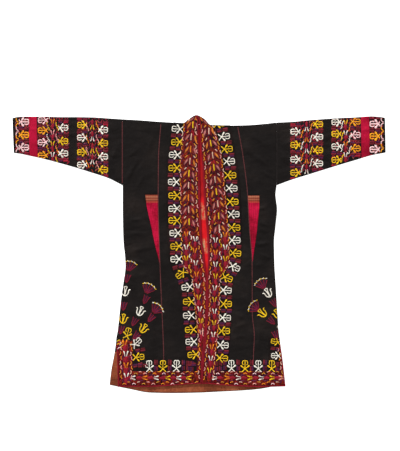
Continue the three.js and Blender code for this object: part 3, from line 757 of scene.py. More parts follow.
BLACK_SILK = woven(
    "black_silk", [(18, 15, 14), (27, 23, 22), (40, 33, 30)], 0.0011, 0.6, (0.55, 0.75), 0.08,
    0.0003, contrast=0.5, crumple=0.014)
BORDER_SILK = woven(
    "border_silk", [(16, 12, 12), (26, 21, 20), (42, 30, 28)], 0.0013, 0.8, (0.6, 0.8), 0.06,
    0.0004, contrast=0.5)
MAGENTA_SHADES = [(136, 4, 34), (172, 10, 48), (200, 20, 64)]
MAGENTA_SILK = woven(
    "magenta_silk", MAGENTA_SHADES, 0.0009, 0.7, (0.45, 0.65), 0.08, 0.0002,
    sheen=0.02, contrast=0.16)
WEDGE_BARS = dict(span=(0.205, 0.236), shades=[
    (168, 22, 44), (186, 70, 56), (120, 40, 34), (176, 100, 72), (122, 44, 34), (184, 112, 84),
    (134, 58, 40),
])
WEDGE_SILK = woven(
    "wedge_silk", MAGENTA_SHADES, 0.0009, 0.9, (0.45, 0.65), 0.08, 0.0002,
    sheen=0.02, contrast=0.09, bars=WEDGE_BARS)
RUST_COTTON = woven(
    "rust_cotton", [(112, 56, 36), (150, 78, 50), (182, 104, 70)], 0.0015, 1.0, (0.8, 0.95), 0.05,
    0.0004, flecks=dict(scale=60, size=0.2, colour=(124, 58, 40)))
RED_COTTON = printed_red("red_cotton")
CRIMSON_BRAID = braided("crimson_braid", [(84, 6, 18), (126, 12, 28), (152, 22, 40)])
GROUND_SHADES = [
    (18, 4, 6), (92, 14, 12), (132, 24, 18), (58, 10, 28), (148, 44, 18), (22, 6, 8),
]
GROUND_STITCH = stitched_ground("ground_stitch", GROUND_SHADES)

THREADS = {
    "ivory": (248, 236, 220), "cream": (220, 180, 156), "yellow": (238, 190, 24),
    "ochre": (208, 142, 46), "orange": (236, 136, 26), "pink": (232, 160, 150),
    "crimson": (156, 20, 44), "garnet": (128, 22, 44), "wine": (114, 28, 40),
    "maroon": (90, 20, 26), "purple": (74, 22, 60), "night": (36, 8, 22),
    "mauve": (196, 122, 114), "plum": (152, 78, 74), "gold": (208, 126, 50),
    "amber": (172, 86, 26), "brick": (150, 42, 18), "rosewood": (96, 46, 48),
    "jet": (32, 26, 25), "rose": (255, 200, 200), "tangerine": (252, 160, 28),
}
THREAD = {name: thread("thread_" + name, colour) for name, colour in THREADS.items()}


# The cloth pieces. Each replaces the solid of the same name.
SLOTS = {
    "black_silk": BLACK_SILK, "embroidered_silk": BORDER_SILK, "magenta_silk": MAGENTA_SILK,
    "crimson_braid": CRIMSON_BRAID, "red_lining": RED_COTTON, "rust_lining": RUST_COTTON,
}
SLOT_OF = {row["node"]: row["material_slot"] for row in frame["record"]["subparts"]}


def stand_for(piece, node):
    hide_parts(node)


def dress(node, grid, under, over, keep=None, rim=RIM):
    """The cloth that stands for a node, in the finish of that node's material slot."""
    material = WEDGE_SILK if node.startswith("wedge") else SLOTS[SLOT_OF[node]]
    stand_for(cloth_shell(node + "_cloth", grid, under, over, material, keep, rim), node)


def steps_for(width, cell):
    return max(2, round(width / cell))


# Cells of the back and the linings, across them and up them.
BACK_LENGTH = 1080
BACK_SIDE_WIDTH = 160
BACK_CENTRE_COLUMNS = [10, 12, 15]
NAPE_CELLS = (26, 7)
OPENING_LINING_CELLS = (9, 90)
HEM_LINING_CELLS = (110, 7)
SLIT_LINING_CELLS = (7, 19)


def add_back():
    rows = spread([back_hem, shoulder], [steps_for(BACK_LENGTH, BACK_CELL)])
    seams = (curve(BACK_SEAM_LEFT), curve(BACK_SEAM_RIGHT))
    necks = (level(NECK_LEFT), level(NECK_RIGHT))
    side_steps = steps_for(BACK_SIDE_WIDTH, BACK_CELL)
    panels = {
        "back_side_left": ([back_side_left, seams[0]], [side_steps]),
        "back_centre": ([seams[0], *necks, seams[1]], BACK_CENTRE_COLUMNS),
        "back_side_right": ([seams[1], side_right], [side_steps]),
    }
    for name, (lines, steps) in panels.items():
        grid = drawn_in(grid_of(spread(lines, steps), rows), HALF_SEAM, HALF_SEAM)
        dress(name, grid, back_under, back_top)
        plan_area(grid)

    def neckline(x):
        share = (x - NECK_LEFT) / (NECK_RIGHT - NECK_LEFT)
        ends = [shoulder(level(end)(x)) for end in (NECK_LEFT, NECK_RIGHT)]
        return ends[0] * (1 - share) + ends[1] * share + SEAM

    grid = patch(necks, [neckline, roof], NAPE_CELLS)
    dress("neck_border_back", grid, level_surface(0), level_surface(WALL))
    plan_area(grid)


def patch(columns, rows, cells):
    """A grid between two columns and two rows."""
    return grid_of(spread(list(columns), [cells[0]]), spread(list(rows), [cells[1]]))


def level_surface(height):
    return lambda x, y: np.full(np.shape(x), float(height))


def add_linings():
    backs = ["back_side_left", "back_centre", "back_side_right"]
    hem_left = moved(back_side_left, LINING_INSET)
    hem_right = moved(side_right, -LINING_INSET_RIGHT)
    openings = [moved(opening_left, -LINING_UNDERLAP), moved(opening_right, LINING_UNDERLAP)]
    hem_rows = [moved(back_hem, LINING_INSET), level(HEM_LINING_TOP)]
    slit_rows = [level(HEM_LINING_TOP + SEAM), level(SLIT_LINING_TOP)]
    linings = {
        "opening_lining": (
            openings, [level(LINING_END), level(LINING_TOP)], OPENING_LINING_CELLS, backs[1:2]),
        "hem_lining": ([hem_left, hem_right], hem_rows, HEM_LINING_CELLS, backs),
        "slit_lining_left": (
            [hem_left, level(SLIT_LINING_INNER)], slit_rows, SLIT_LINING_CELLS, backs[:1]),
    }
    for name, (columns, rows, cells, rests_on) in linings.items():
        grid = patch(columns, rows, cells)
        dress(name, grid, level_surface(REST), level_surface(REST + LINING), rim=THIN_RIM)
        plan_area(grid)


WEDGE_FADE = 120  # distance below a wedge's tip over which the columns spread again


def wedge_share(table, seam, side, tip, top):
    """Where the wedge's slanting edge runs between the seam and the side of the coat, and
    how that line goes on below the wedge's tip and above its top."""
    outer = curve(table)

    def share_at(y):
        return (outer(y) - seam(y)) / (side(y) - seam(y))

    def line(y):
        y = np.asarray(y, float)
        below = smoothstep(tip - y, 0, WEDGE_FADE)
        share = share_at(np.clip(y, tip, top)) * (1 - below) + share_at(level(top)(y)) * below
        return seam(y) * (1 - share) + side(y) * share

    return line


# Heights of the wedges' tips and tops. Columns: tip, top.
WEDGE_SPAN = {"left": (-36, 237), "right": (-32, 234)}


# Cells of the pieces of a front, across them and up them.
FRONT_LENGTH = 950  # from the hem border up to the shoulder
SHOULDER_LEVEL = 530
PANEL_HEM_ROWS = 16
BORDER_HEM_ROWS = 18
COLLAR_ROWS = 5
SLIT_ROWS = 20
BRAID_ROWS = [260, 8]
SLIT_BRAID_ROWS = 40
HEM_BRAID_ROWS = 3
CENTRE_COLUMNS = [14, 12]
WEDGE_COLUMNS = 9
SIDE_COLUMNS = 18
BORDER_COLUMNS = 23
BRAID_COLUMNS = 4
SLIT_COLUMNS = 15
SLIT_BRAID_COLUMNS = 3
HEM_COLUMNS = [16, 12]
HEM_BRAID_COLUMNS = [34, 34]
WEDGE_RIM = 0.6


def add_front(side, opening, rim, border, seam, slit, edge, wedge):
    """One half of the front. Columns always run from left to right."""
    is_left = side == "left"
    tip, top = WEDGE_SPAN[side]
    towards = -1 if is_left else 1
    seam_edge, open_edge = ("left", "right") if is_left else ("right", "left")
    border_level = level(BORDER_TOP)

    def ordered(lines, steps):
        return spread(lines[::-1], steps[::-1]) if is_left else spread(lines, steps)

    rows = spread([front_hem, border_level, shoulder], [PANEL_HEM_ROWS, steps_for(FRONT_LENGTH, CELL)])
    centre = grid_of(ordered([opening, border, seam], CENTRE_COLUMNS), rows)
    centre = drawn_in(centre, **{seam_edge: HALF_SEAM})
    dress(f"front_centre_{side}", centre, upper_layer, panel_top)

    # The side panel leaves out the cells where the wedge is let in.
    wedge_line = wedge_share(wedge, seam, edge, tip, top)
    lines = ordered([seam, wedge_line, edge], [WEDGE_COLUMNS, SIDE_COLUMNS])
    low_steps = steps_for(tip - BORDER_TOP, CELL)
    wedge_steps = steps_for(top - tip, CELL)
    rows = spread(
        [front_hem, border_level, level(tip - SEAM), level(top + SEAM), shoulder],
        [PANEL_HEM_ROWS, low_steps, wedge_steps, steps_for(SHOULDER_LEVEL - top, CELL)])
    panel = drawn_in(grid_of(lines, rows), HALF_SEAM, HALF_SEAM)
    keep = np.ones((len(rows) - 1, len(lines) - 1), bool)
    first = PANEL_HEM_ROWS + low_steps
    let_in = slice(SIDE_COLUMNS, None) if is_left else slice(0, WEDGE_COLUMNS)
    keep[first:first + wedge_steps, let_in] = False
    dress(f"front_side_{side}", panel, upper_layer, panel_top, keep)

    wedge_outer = moved(curve(wedge), -towards * SEAM)
    rows = spread([level(tip), level(top)], [wedge_steps])
    wedge_grid = grid_of(ordered([seam, wedge_outer], [WEDGE_COLUMNS]), rows)
    wedge_grid = drawn_in(wedge_grid, **{open_edge: HALF_SEAM})
    dress(f"wedge_{side}", wedge_grid, upper_layer, panel_top, rim=WEDGE_RIM)

    rows = spread(
        [front_hem, border_level, shoulder, collar_top],
        [BORDER_HEM_ROWS, steps_for(FRONT_LENGTH, BORDER_CELL), COLLAR_ROWS])
    border_grid = grid_of(ordered([rim, border], [BORDER_COLUMNS]), rows)
    dress(f"border_{side}", border_grid, border_under, border_top)
    braid_low = moved(front_hem, BRAID_WIDTH + SEAM)
    inner = moved(opening, towards * BRAID_WIDTH)
    rows = spread([braid_low, shoulder, collar_top], BRAID_ROWS)
    grid = grid_of(ordered([rim, inner], [BRAID_COLUMNS]), rows)
    dress(f"front_braid_{side}", grid, braid_under, braid_top)

    rows = spread([front_hem, border_level, slit_border_top], [BORDER_HEM_ROWS, SLIT_ROWS])
    slit_grid = drawn_in(grid_of(ordered([slit, edge], [SLIT_COLUMNS]), rows), **{open_edge: SEAM})
    dress(f"slit_border_{side}", slit_grid, border_under, border_top)
    inner = moved(edge, -towards * BRAID_WIDTH)
    rows = spread([braid_low, slit_braid_top], [SLIT_BRAID_ROWS])
    grid = grid_of(ordered([inner, edge], [SLIT_BRAID_COLUMNS]), rows)
    dress(f"slit_braid_{side}", grid, braid_under, braid_top)

    rows = spread([front_hem, border_level], [BORDER_HEM_ROWS])
    hem_grid = drawn_in(grid_of(ordered([border, seam, slit], HEM_COLUMNS), rows), **{open_edge: SEAM})
    dress(f"hem_border_{side}", hem_grid, border_under, border_top)
    rows = spread([front_hem, moved(front_hem, BRAID_WIDTH)], [HEM_BRAID_ROWS])
    grid = grid_of(ordered([opening, seam, edge], HEM_BRAID_COLUMNS), rows)
    dress(f"hem_braid_{side}", grid, braid_under, braid_top)

    wedge_area = plan_area(wedge_grid)
    plan_area(centre)
    plan_area(panel) - wedge_area
    plan_area(border_grid)
    plan_area(slit_grid)
    plan_area(hem_grid)


# The flat tubes of the sleeves.
UPPER_STEPS = 34
LOWER_STEPS = 20
FOLD_STEPS = 6
EDGE_ROUND = 0.7  # how much a sleeve join is rounded


def sleeve_loop(x, top_y, under_y, lean, depth):
    """A flattened tube's section: along the upper wall, round the fold, back along the lower
    wall and round the other fold. depth is measured in from the outside."""
    fold_radius = (REST + WALL) / 2
    radius = fold_radius - depth
    high, low = top_y - fold_radius, under_y + fold_radius
    upper = low + (high - low) * np.arange(UPPER_STEPS) / UPPER_STEPS
    lower = high + (low - high) * np.arange(LOWER_STEPS) / LOWER_STEPS
    turn = np.pi * np.arange(FOLD_STEPS) / FOLD_STEPS
    y = np.concatenate([
        upper, high + radius * np.sin(turn), lower, low - radius * np.sin(turn)])
    here = np.full_like(upper, x)
    z = np.concatenate([
        panel_top(here, upper) - depth, fold_radius + radius * np.cos(turn),
        back_under(np.full_like(lower, x), lower) + depth, fold_radius - radius * np.cos(turn)])
    return np.stack([x + lean * (y - (top_y + under_y) / 2), y, z], 1)


def folds_of(table):
    """The lines of a sleeve's upper and lower folds."""
    return curve([(x, high) for x, high, _ in table]), curve([(x, low) for x, _, low in table])


def sleeve_stretch(node, table, joins, near, far):
    """A stretch of a sleeve from one join to the next: a tube of cloth, open at both ends.
    Gives its flat cut: the measure all round and its length."""
    top, under = folds_of(table)
    first, last = min(near, far) + HALF_SEAM, max(near, far) - HALF_SEAM
    steps = max(2, round((last - first - 2 * EDGE_ROUND) / CELL))
    inner = np.linspace(first + EDGE_ROUND, last - EDGE_ROUND, steps + 1)
    stations = [(first, EDGE_ROUND), *((x, 0) for x in inner), (last, EDGE_ROUND)]
    loops = []
    for x, rounded in stations:
        share = (x - joins["armhole"]) / (joins["end"] - joins["armhole"])
        place = (x, float(top(x)), float(under(x)), joins["lean"] * share)
        loops.append([sleeve_loop(*place, rounded), sleeve_loop(*place, WALL - rounded)])
    count = len(loops[0][0])
    points = np.concatenate([loop for pair in loops for loop in pair])
    faces = []

    def face(*corners):
        faces.append([(station * 2 + inner_wall) * count + (k + ahead) % count
                      for station, inner_wall, ahead in corners])

    end = len(stations) - 1
    for k in range(count):
        for s in range(end):
            face((s, 0, 0), (s + 1, 0, 0), (s + 1, 0, 1), (s, 0, 1))
            face((s, 1, 0), (s, 1, 1), (s + 1, 1, 1), (s + 1, 1, 0))
        face((0, 0, 0), (0, 0, 1), (0, 1, 1), (0, 1, 0))
        face((end, 0, 0), (end, 1, 0), (end, 1, 1), (end, 0, 1))
    stand_for(mesh_piece(node + "_cloth", points, faces, SLOTS[SLOT_OF[node]]), node)
    middle = (first + last) / 2
    return 2 * (float(top(middle)) - float(under(middle))) * MM, (last - first) * MM


def add_sleeve(side, table, joins):
    stretches = {
        "sleeve": ("armhole", "stripe"), "sleeve_stripe": ("stripe", "cuff"),
        "cuff": ("cuff", "binding"), "cuff_binding": ("binding", "end"),
    }
    for name, (start, end) in stretches.items():
        sleeve_stretch(f"{name}_{side}", table, joins, joins[start], joins[end])


add_back()
add_linings()
add_front("left", opening_left, rim_left, border_left, seam_left, slit_left, side_left, WEDGE_LEFT)
add_front("right", opening_right, rim_right, border_right, seam_right, slit_right, side_right, WEDGE_RIGHT)
add_sleeve("left", SLEEVE_LEFT, SLEEVE_JOINS_LEFT)
add_sleeve("right", SLEEVE_RIGHT, SLEEVE_JOINS_RIGHT)


# The embroidery. A stitch line is a low rounded ribbon of thread sunk a little in its cloth.
# Motifs are drawn in their own millimetres with +X as their head, and then turned into place.
STITCH_HEIGHT = 0.85
SAMPLE = 2.6  # spacing of the samples along a stitch line
EDGE_MARGIN = 2.0  # how far a stitch line stays from the coat's own edges

# Inner edges of the closely stitched ground of the fronts, hem and slits. Columns: y, x.
GROUND_EDGE_LEFT = [
    (526, -58), (456, -66), (376, -74), (316, -78), (256, -75), (156, -71), (56, -66),
    (-48, -62), (-92, -30), (-144, -22), (-224, -15), (-284, -9), (-348, -5), (-420, -8), (-520, -12),
]
GROUND_EDGE_RIGHT = [
    (518, 45), (476, 70), (416, 88), (356, 96), (296, 102), (236, 108), (156, 114), (56, 120),
    (-40, 124), (-88, 86), (-144, 85), (-224, 82), (-304, 80), (-364, 74), (-424, 66), (-520, 60),
]
HEM_GROUND_TOP = -468
SLIT_GROUND_LEFT = (-266, -346)  # its inner edge and its top
SLIT_GROUND_RIGHT = (322, -340)
GROUND_CLEARANCE = 0.6

ground_left = curve(GROUND_EDGE_LEFT)
ground_right = curve(GROUND_EDGE_RIGHT)
front_edge_left = moved(opening_left, -BRAID_WIDTH - GROUND_CLEARANCE)
front_edge_right = moved(opening_right, BRAID_WIDTH + GROUND_CLEARANCE)


def inside(value, low, high):
    return (value >= low) & (value <= high)


def coat_surface(x, y):
    """The top of the coat where a stitch line lies: a panel, a border or its stitched ground."""
    in_fronts = inside(x, side_left(y), side_right(y)) & (y > front_hem(x))
    hem_part = y <= BORDER_TOP
    slit_part = (y <= slit_border_top(x)) & ((x <= slit_left(y)) | (x >= slit_right(y)))
    front_part = inside(x, border_left(y), border_right(y))
    bordered = in_fronts & (hem_part | slit_part | front_part)
    ground_front = inside(x, ground_left(y), front_edge_left(y))
    ground_front |= inside(x, front_edge_right(y), ground_right(y))
    ground_hem = y <= HEM_GROUND_TOP
    ground_slit = (x <= SLIT_GROUND_LEFT[0]) & (y <= SLIT_GROUND_LEFT[1])
    ground_slit |= (x >= SLIT_GROUND_RIGHT[0]) & (y <= SLIT_GROUND_RIGHT[1])
    grounded = bordered & (ground_front | ground_hem | ground_slit)
    cloth = np.where(bordered, border_top(x, y), panel_top(x, y))
    return np.where(grounded, ground_top(x, y), cloth)


def turned(points, turn, at=(0, 0), scale=1.0, flip=1):
    """A motif's points scaled, mirrored where flip is -1, turned and put into place."""
    angle = math.radians(turn)
    p = np.asarray(points, float) * scale * (1, flip)
    x = p[:, 0] * math.cos(angle) - p[:, 1] * math.sin(angle) + at[0]
    y = p[:, 0] * math.sin(angle) + p[:, 1] * math.cos(angle) + at[1]
    return np.stack([x, y], 1)


def smooth_path(points):
    """A rounded line through points, as many closely spaced ones."""
    p = np.asarray(points, float)
    if len(p) == 2:
        return p[0] + (p[1] - p[0]) * np.linspace(0, 1, 9)[:, None]
    padded = np.concatenate([[2 * p[0] - p[1]], p, [2 * p[-1] - p[-2]]])
    t = np.linspace(0, 1, 7)[:-1, None]
    parts = []
    for a, b, c, d in zip(padded, padded[1:], padded[2:], padded[3:]):
        parts.append(b + (c - a) * t / 2 + (2 * a - 5 * b + 4 * c - d) * t ** 2 / 2
                     + (3 * b - a - 3 * c + d) * t ** 3 / 2)
    return np.concatenate([*parts, p[-1:]])


def half_widths(s, width, shape):
    """Half the width of a stitch line along its length, for each of its shapes."""
    length = s[-1]
    if shape == "leaf":
        share = np.sin(np.pi * np.clip(s / length, 0.03, 0.97)) ** 0.8
        return share * width / 2
    nearest_end = np.minimum(s, length - s)
    blunt = 0.18 * width if shape == "bar" else width / 2
    near = np.clip(nearest_end / max(min(blunt, length / 2), 1e-6), 0, 1)
    rounded = np.sqrt(np.clip(1 - (1 - near) ** 2, 0.1, 1))
    if shape == "club":
        rounded = rounded * (0.5 + 0.5 * smoothstep(s, 0.3 * length, 0.8 * length))
    return rounded * width / 2


ACROSS = np.array([-1.0, -0.55, 0.0, 0.55, 1.0])
DOME = np.sqrt(1 - ACROSS ** 2)


def ribbon(points, width, shape, height):
    """The cross-sections of a stitch line: places, rise above the cloth and thread coordinates."""
    path = smooth_path(points)
    run = np.concatenate([[0], np.cumsum(np.hypot(*np.diff(path, axis=0).T))])
    length = run[-1]
    end = min(width / 2, length / 3)
    body = np.linspace(end, length - end, max(2, round((length - 2 * end) / SAMPLE) + 1))
    s = np.concatenate([[0, end * 0.35], body, [length - end * 0.35, length]])
    centre = np.stack([np.interp(s, run, path[:, 0]), np.interp(s, run, path[:, 1])], 1)
    along = np.gradient(centre, s, axis=0)
    along /= np.maximum(np.hypot(*along.T), 1e-9)[:, None]
    sideways = np.stack([-along[:, 1], along[:, 0]], 1)
    half = half_widths(s, width, shape)
    places = centre[:, None] + sideways[:, None] * (half[:, None] * ACROSS)[:, :, None]
    crown = height * np.clip(half / (width / 2), 0.15, 1)
    rise = (crown[:, None] + STITCH_SINK) * DOME - STITCH_SINK
    thread_uv = np.stack(np.broadcast_arrays(s[:, None] * MM, half[:, None] * ACROSS * MM), -1)
    return places.reshape(-1, 2), rise.ravel(), thread_uv.reshape(-1, 2)


runs = {}  # stitch lines by region and colour


def stitch(region, colour, points, width, shape="line", height=STITCH_HEIGHT):
    runs.setdefault((region, colour), []).append(ribbon(points, width, shape, height))


def draw(region, motif, colours, at, turn=0.0, scale=1.0, flip=1, height=STITCH_HEIGHT, bold=1.0):
    """Draws a motif, whose rows are: role of the colour, shape, width and points. A row whose
    shape begins with two is drawn on both sides of the motif's axis."""
    for role, shape, width, points in motif:
        sides = (flip, -flip) if shape.startswith("two ") else (flip,)
        for side in sides:
            line = turned(points, turn, at, scale, side)
            thickness = width * scale * bold
            stitch(region, colours.get(role, role), line, thickness, shape.removeprefix("two "), height)


def sew(region, surface, limits):
    """Makes one piece of thread for each colour of a region."""
    across = len(ACROSS)
    for (place, colour), ribbons in sorted(runs.items()):
        if place != region:
            continue
        xy = np.concatenate([r[0] for r in ribbons])
        x, y = limits(*xy.T)
        z = surface(x, y) + np.concatenate([r[1] for r in ribbons])
        faces, start = [], 0
        for places, _, _ in ribbons:
            last = len(places) // across - 1
            for k in range(last):
                a, b = start + k * across, start + (k + 1) * across
                for j in range(across):
                    right = (j + 1) % across
                    faces.append([a + j, b + j, b + right, a + right])
            faces.append([start + j for j in range(across)])
            faces.append([start + last * across + j for j in reversed(range(across))])
            start += len(places)
        uv = np.concatenate([r[2] for r in ribbons])
        name = f"stitches_{region}_{colour}"
        piece = mesh_piece(name, np.stack([x, y, z], 1), faces, THREAD[colour], uv)


# Motifs. Columns: role of the colour, shape, width, points.
HEAD = [
    ("thread", "line", 3.8, [(-2, 0), (14, 0), (31, 0)]),
    ("thread", "two line", 3.8, [(16, 5.6), (18, 9.2), (24, 10.4), (30, 9.2), (32, 4.5), (32, -0.5)]),
    ("thread", "two club", 7.6, [(0, 0), (5.5, 7.5), (9.5, 13), (13.5, 17.5)]),
]
FLOWER = [*HEAD, ("thread", "two line", 4.2, [(0, 0), (-5, 5), (-9, 9), (-12, 13)])]
SMALL_FLOWER = [*HEAD, ("thread", "two line", 4.0, [(0, 0), (-4, 5), (-6.5, 9.5)])]
BAR = [
    ("outer", "bar", 8.0, [(15, 4), (36, 4)]),
    ("outer_low", "bar", 8.0, [(13, -4), (35, -4)]),
    ("inner", "bar", 8.0, [(-9, 4), (12, 4)]),
    ("inner_low", "bar", 8.0, [(-8, -4), (10, -4)]),
]
SLEEVE_BAR = dict(outer="garnet", outer_low="crimson", inner="wine", inner_low="purple")
BAR_COLOURS = [
    dict(outer="wine", outer_low="maroon", inner="purple", inner_low="wine"),
    dict(outer="maroon", outer_low="wine", inner="wine", inner_low="purple"),
    dict(outer="wine", outer_low="purple", inner="purple", inner_low="maroon"),
]
PEAK = [("thread", "line", 3.4, [(-7, -2.6), (-3.4, 0.8), (0, 2.4), (3.4, 0.8), (7, -2.6)])]
STROKE = [("thread", "line", 3.4, [(-6.4, -0.8), (0, 0.8), (6.4, 0.4)])]
PEAK_PITCH = 37
STROKE_RISE = 7
PEAK_COLOURS = ("rose", "ochre", "pink", "orange")
HOOK = [("thread", "line", 3.5, [(-7, -2), (-4.4, 0.8), (0, 1.4), (4.6, 0.2), (7.4, -2.6)])]
STALK = [("stalk", "line", 5.0, [(-13, 0), (0, 0.6), (14, 0)])]
CHEVRON = [
    ("shade", "two line", 4.2, [(-15, 3), (-21, 10), (-27, 21)]),
    ("rib", "two line", 3.4, [(12, 5), (-2, 6), (-13, 8)]),
    ("edge", "two line", 3.4, [(12, 26), (0, 27), (-12, 26)]),
]
PETAL_LINE = [("thread", "leaf", 17.5, [(20, 0), (0, 0), (-20, 0)])]
PETAL = [("thread", "leaf", 13.0, [(17, 0), (0, 0), (-17, 0)])]
PETAL_VEIN = [("thread", "leaf", 6.0, [(12, 0.4), (0, -0.6), (-12, 0.4)])]
FEATHER_TIP = [("thread", "line", 4.2, [(-4.6, 4), (4.6, -4)])]
TULIP = [
    ("thread", "two club", 5.2, [(-10, 3), (0, 4.4), (10.5, 8)]),
    ("bud", "leaf", 14.5, [(-8, 0), (-21, 0), (-34, 0)]),
    ("core", "two line", 3.0, [(-14, 1.8), (-21, 3.2), (-28, 1.8)]),
    ("shade", "two line", 4.0, [(-6, 9.5), (-15, 12), (-25, 11)]),
    ("heart", "line", 3.2, [(5, 0), (-6, 0)]),
]
ANCHOR = [
    ("thread", "two line", 4.2, [(-17, 0), (0, 1.7), (12, 3.4), (18, 7)]),
    ("thread", "line", 4.0, [(17.5, -8), (20, -3), (20, 3), (17.5, 8)]),
    ("thread", "two line", 4.8, [(-18, 0), (-12, 9), (-3, 13), (5, 13.5), (9.5, 17), (9, 21)]),
]
BUD = [
    ("outline", "two line", 3.6, [(-19, 0), (-9, 6.6), (3, 8.8), (16, 12.5)]),
    ("outline", "line", 3.4, [(-16, 0), (16, 0)]),
    ("shade", "two line", 3.0, [(-11, 2.8), (2, 4.4), (15, 6.4)]),
]
FAN = [
    ("outline", "two line", 3.5, [(4, 1), (20, 8.4), (36, 15.4)]),
    ("outline", "two line", 3.5, [(2, 3), (15, 15), (27, 26)]),
    ("outline", "line", 3.5, [(5, 0), (20, 0), (39, 0)]),
    ("shade", "two line", 3.2, [(10, 2), (23, 5), (38, 8)]),
    ("shade", "two line", 3.2, [(8, 5), (20, 13), (32, 21)]),
]
FAN_EDGE = [("thread", "line", 2.8, [(-3.6, -1.6), (-1.8, 1.4), (1.8, 1.4), (3.6, -1.6)])]

IVORY_YELLOW = ("ivory", "yellow")
HOOK_COLOURS = ("cream", "pink", "ochre", "orange")
HOOK_TILT = 15
HOOK_PITCH = 18.4
HOOK_SWAY = 2.2  # how far a row's hooks stand to one side and the other of its line
LOOK_AHEAD = 4  # distance over which the direction of a line is taken
STROKE_TILTS = (-10, 14)


def hook(region, colour, at, turn=0.0, scale=1.0, flip=1):
    draw(region, HOOK, dict(thread=colour), at, turn, scale, flip)


def hook_row(region, line, start, end, phase=0):
    """Small hooks along the line x(y), bent and leant to one side and the other by turns."""
    count = max(1, round(abs(end - start) / HOOK_PITCH))
    for k in range(count):
        y = start + (end - start) * (k + 0.5) / count
        x, further = float(line(y)), float(line(y + LOOK_AHEAD))
        side = 1 if k % 2 else -1
        turn = math.degrees(math.atan2(LOOK_AHEAD, further - x)) + side * HOOK_TILT
        colour = HOOK_COLOURS[(k + phase) % len(HOOK_COLOURS)]
        hook(region, colour, (x + side * HOOK_SWAY, y), turn, flip=side)


def hem_peaks(region, y, start, end, phase):
    """Small peaks along a level line, and between each two of them a short stroke set higher."""
    count = round((end - start) / PEAK_PITCH)
    for k in range(count):
        x = start + (end - start) * (k + 0.25) / count
        colour = PEAK_COLOURS[(k + phase) % len(PEAK_COLOURS)]
        draw(region, PEAK, dict(thread=colour), (x, y))
        colour = HOOK_COLOURS[(k + phase) % len(HOOK_COLOURS)]
        place = (x + PEAK_PITCH / 2, y + STROKE_RISE)
        draw(region, STROKE, dict(thread=colour), place, STROKE_TILTS[k % 2])


def flower_column(region, rows, colours, motif=FLOWER, scale=1.0, barred=True, bold=1.0):
    """Flowers at the rows x, y, head direction, in two colours by turns, and bars between them."""
    for k, (x, y, turn) in enumerate(rows):
        draw(region, motif, dict(thread=colours[k % 2]), (x, y), turn, scale, bold=bold)
    for k, (row, next_row) in enumerate(zip(rows, rows[1:]) if barred else ()):
        x, y, turn = ((first + second) / 2 for first, second in zip(row, next_row))
        draw(region, BAR, BAR_COLOURS[k % 3], (x, y), turn, scale)


# Flowers up the outer sides of the front borders. Columns: x, y, head direction in degrees.
FLOWERS_LEFT = [
    (-75, 499, 176), (-77, 448, 182), (-86, 396, 178), (-88, 344, 181), (-90, 288, 179),
    (-88, 234, 180), (-88, 182, 182), (-88, 134, 179), (-84, 84, 180), (-80, 32, 183),
    (-80, -20, 182), (-63, -72, 218), (-36, -131, 186), (-30, -190, 180), (-30, -245, 181),
    (-22, -301, 183), (-20, -350, 180), (-12, -401, 184),
]
FLOWERS_RIGHT = [
    (70, 519, 8), (90, 468, 8), (101, 419, 4), (110, 370, 2), (115, 315, 0), (120, 263, -2),
    (124, 209, 0), (128, 159, 1), (131, 106, -1), (132, 55, 0), (135, 4, -4), (132, -48, -24),
    (102, -92, -20), (97, -144, -4), (98, -199, 0), (94, -254, -2), (90, -307, 0), (85, -363, -3),
    (82, -415, -4),
]
HEM_FLOWERS_LEFT = [(-198, -458, 92), (-144, -458, 90), (-90, -457, 88)]
HEM_FLOWERS_RIGHT = [(130, -457, 92), (184, -458, 90), (237, -458, 90), (290, -458, 88)]
SLIT_FLOWERS_LEFT = [(-252, -412, 4), (-258, -361, 42), (-288, -327, 74)]
SLIT_FLOWERS_RIGHT = [(317, -406, 178), (316, -352, 168)]
# Bars that stand in the corners of the borders. Columns: x, y, direction in degrees.
LOOSE_BARS = [
    (-237, -446, 4), (-246, -386, 12), (-62, -456, 90), (-256, -446, 14), (-44, -458, 90),
    (-28, -460, 90), (70, -460, 90), (86, -458, 90), (104, -456, 90), (-20, -440, 180),
    (312, -462, 90),
]
# Loops at the top of the left slit's border. Columns: x, y, direction in degrees, colour.
SLIT_LOOPS = [
    (-322, -346, 30, "yellow"), (-306, -352, 64, "tangerine"), (-323, -360, 24, "tangerine"),
    (-309, -368, 52, "yellow"), (-321, -376, 40, "rose"),
]

# Spines of the feathers. Columns: y, x.
FEATHER_LEFT = [(516, -24), (466, -31), (420, -33), (368, -36), (316, -40), (226, -42), (130, -39)]
FEATHER_RIGHT = [(491, 40), (440, 48), (396, 55), (348, 60), (293, 65), (248, 70), (197, 76), (99, 82)]
FEATHER_PITCH = 48.4
STALK_COLOURS = ("yellow", "cream")

# Tulips of the lower fronts. Columns: x, y, colour.
TULIPS_LEFT = [
    (-51, 80, "orange"), (-51, 28, "ivory"), (-51, -16, "yellow"), (-15, 61, "ivory"),
    (-17, 14, "orange"), (-13, -35, "ivory"), (-10, -80, "orange"), (-4, -127, "ivory"),
    (-1, -172, "yellow"), (3, -219, "ivory"), (7, -266, "yellow"), (10, -312, "pink"),
]
TULIPS_RIGHT = [
    (66, 56, "ivory"), (66, 7, "orange"), (66, -41, "ivory"), (66, -88, "yellow"),
    (63, -135, "ivory"), (62, -181, "yellow"), (62, -228, "ivory"), (60, -274, "yellow"),
    (57, -321, "ivory"), (51, -370, "orange"), (47, -416, "ivory"), (42, -464, "yellow"),
    (104, 78, "orange"), (105, 28, "ivory"), (105, -18, "yellow"),
]
# Hooks between two columns of tulips. Columns: x, y.
SEPARATORS_LEFT = [(-34, 84), (-34, 41), (-34, -7), (-36, -50)]
SEPARATORS_RIGHT = [(86, 92), (86, 52), (86, 3), (87, -43)]

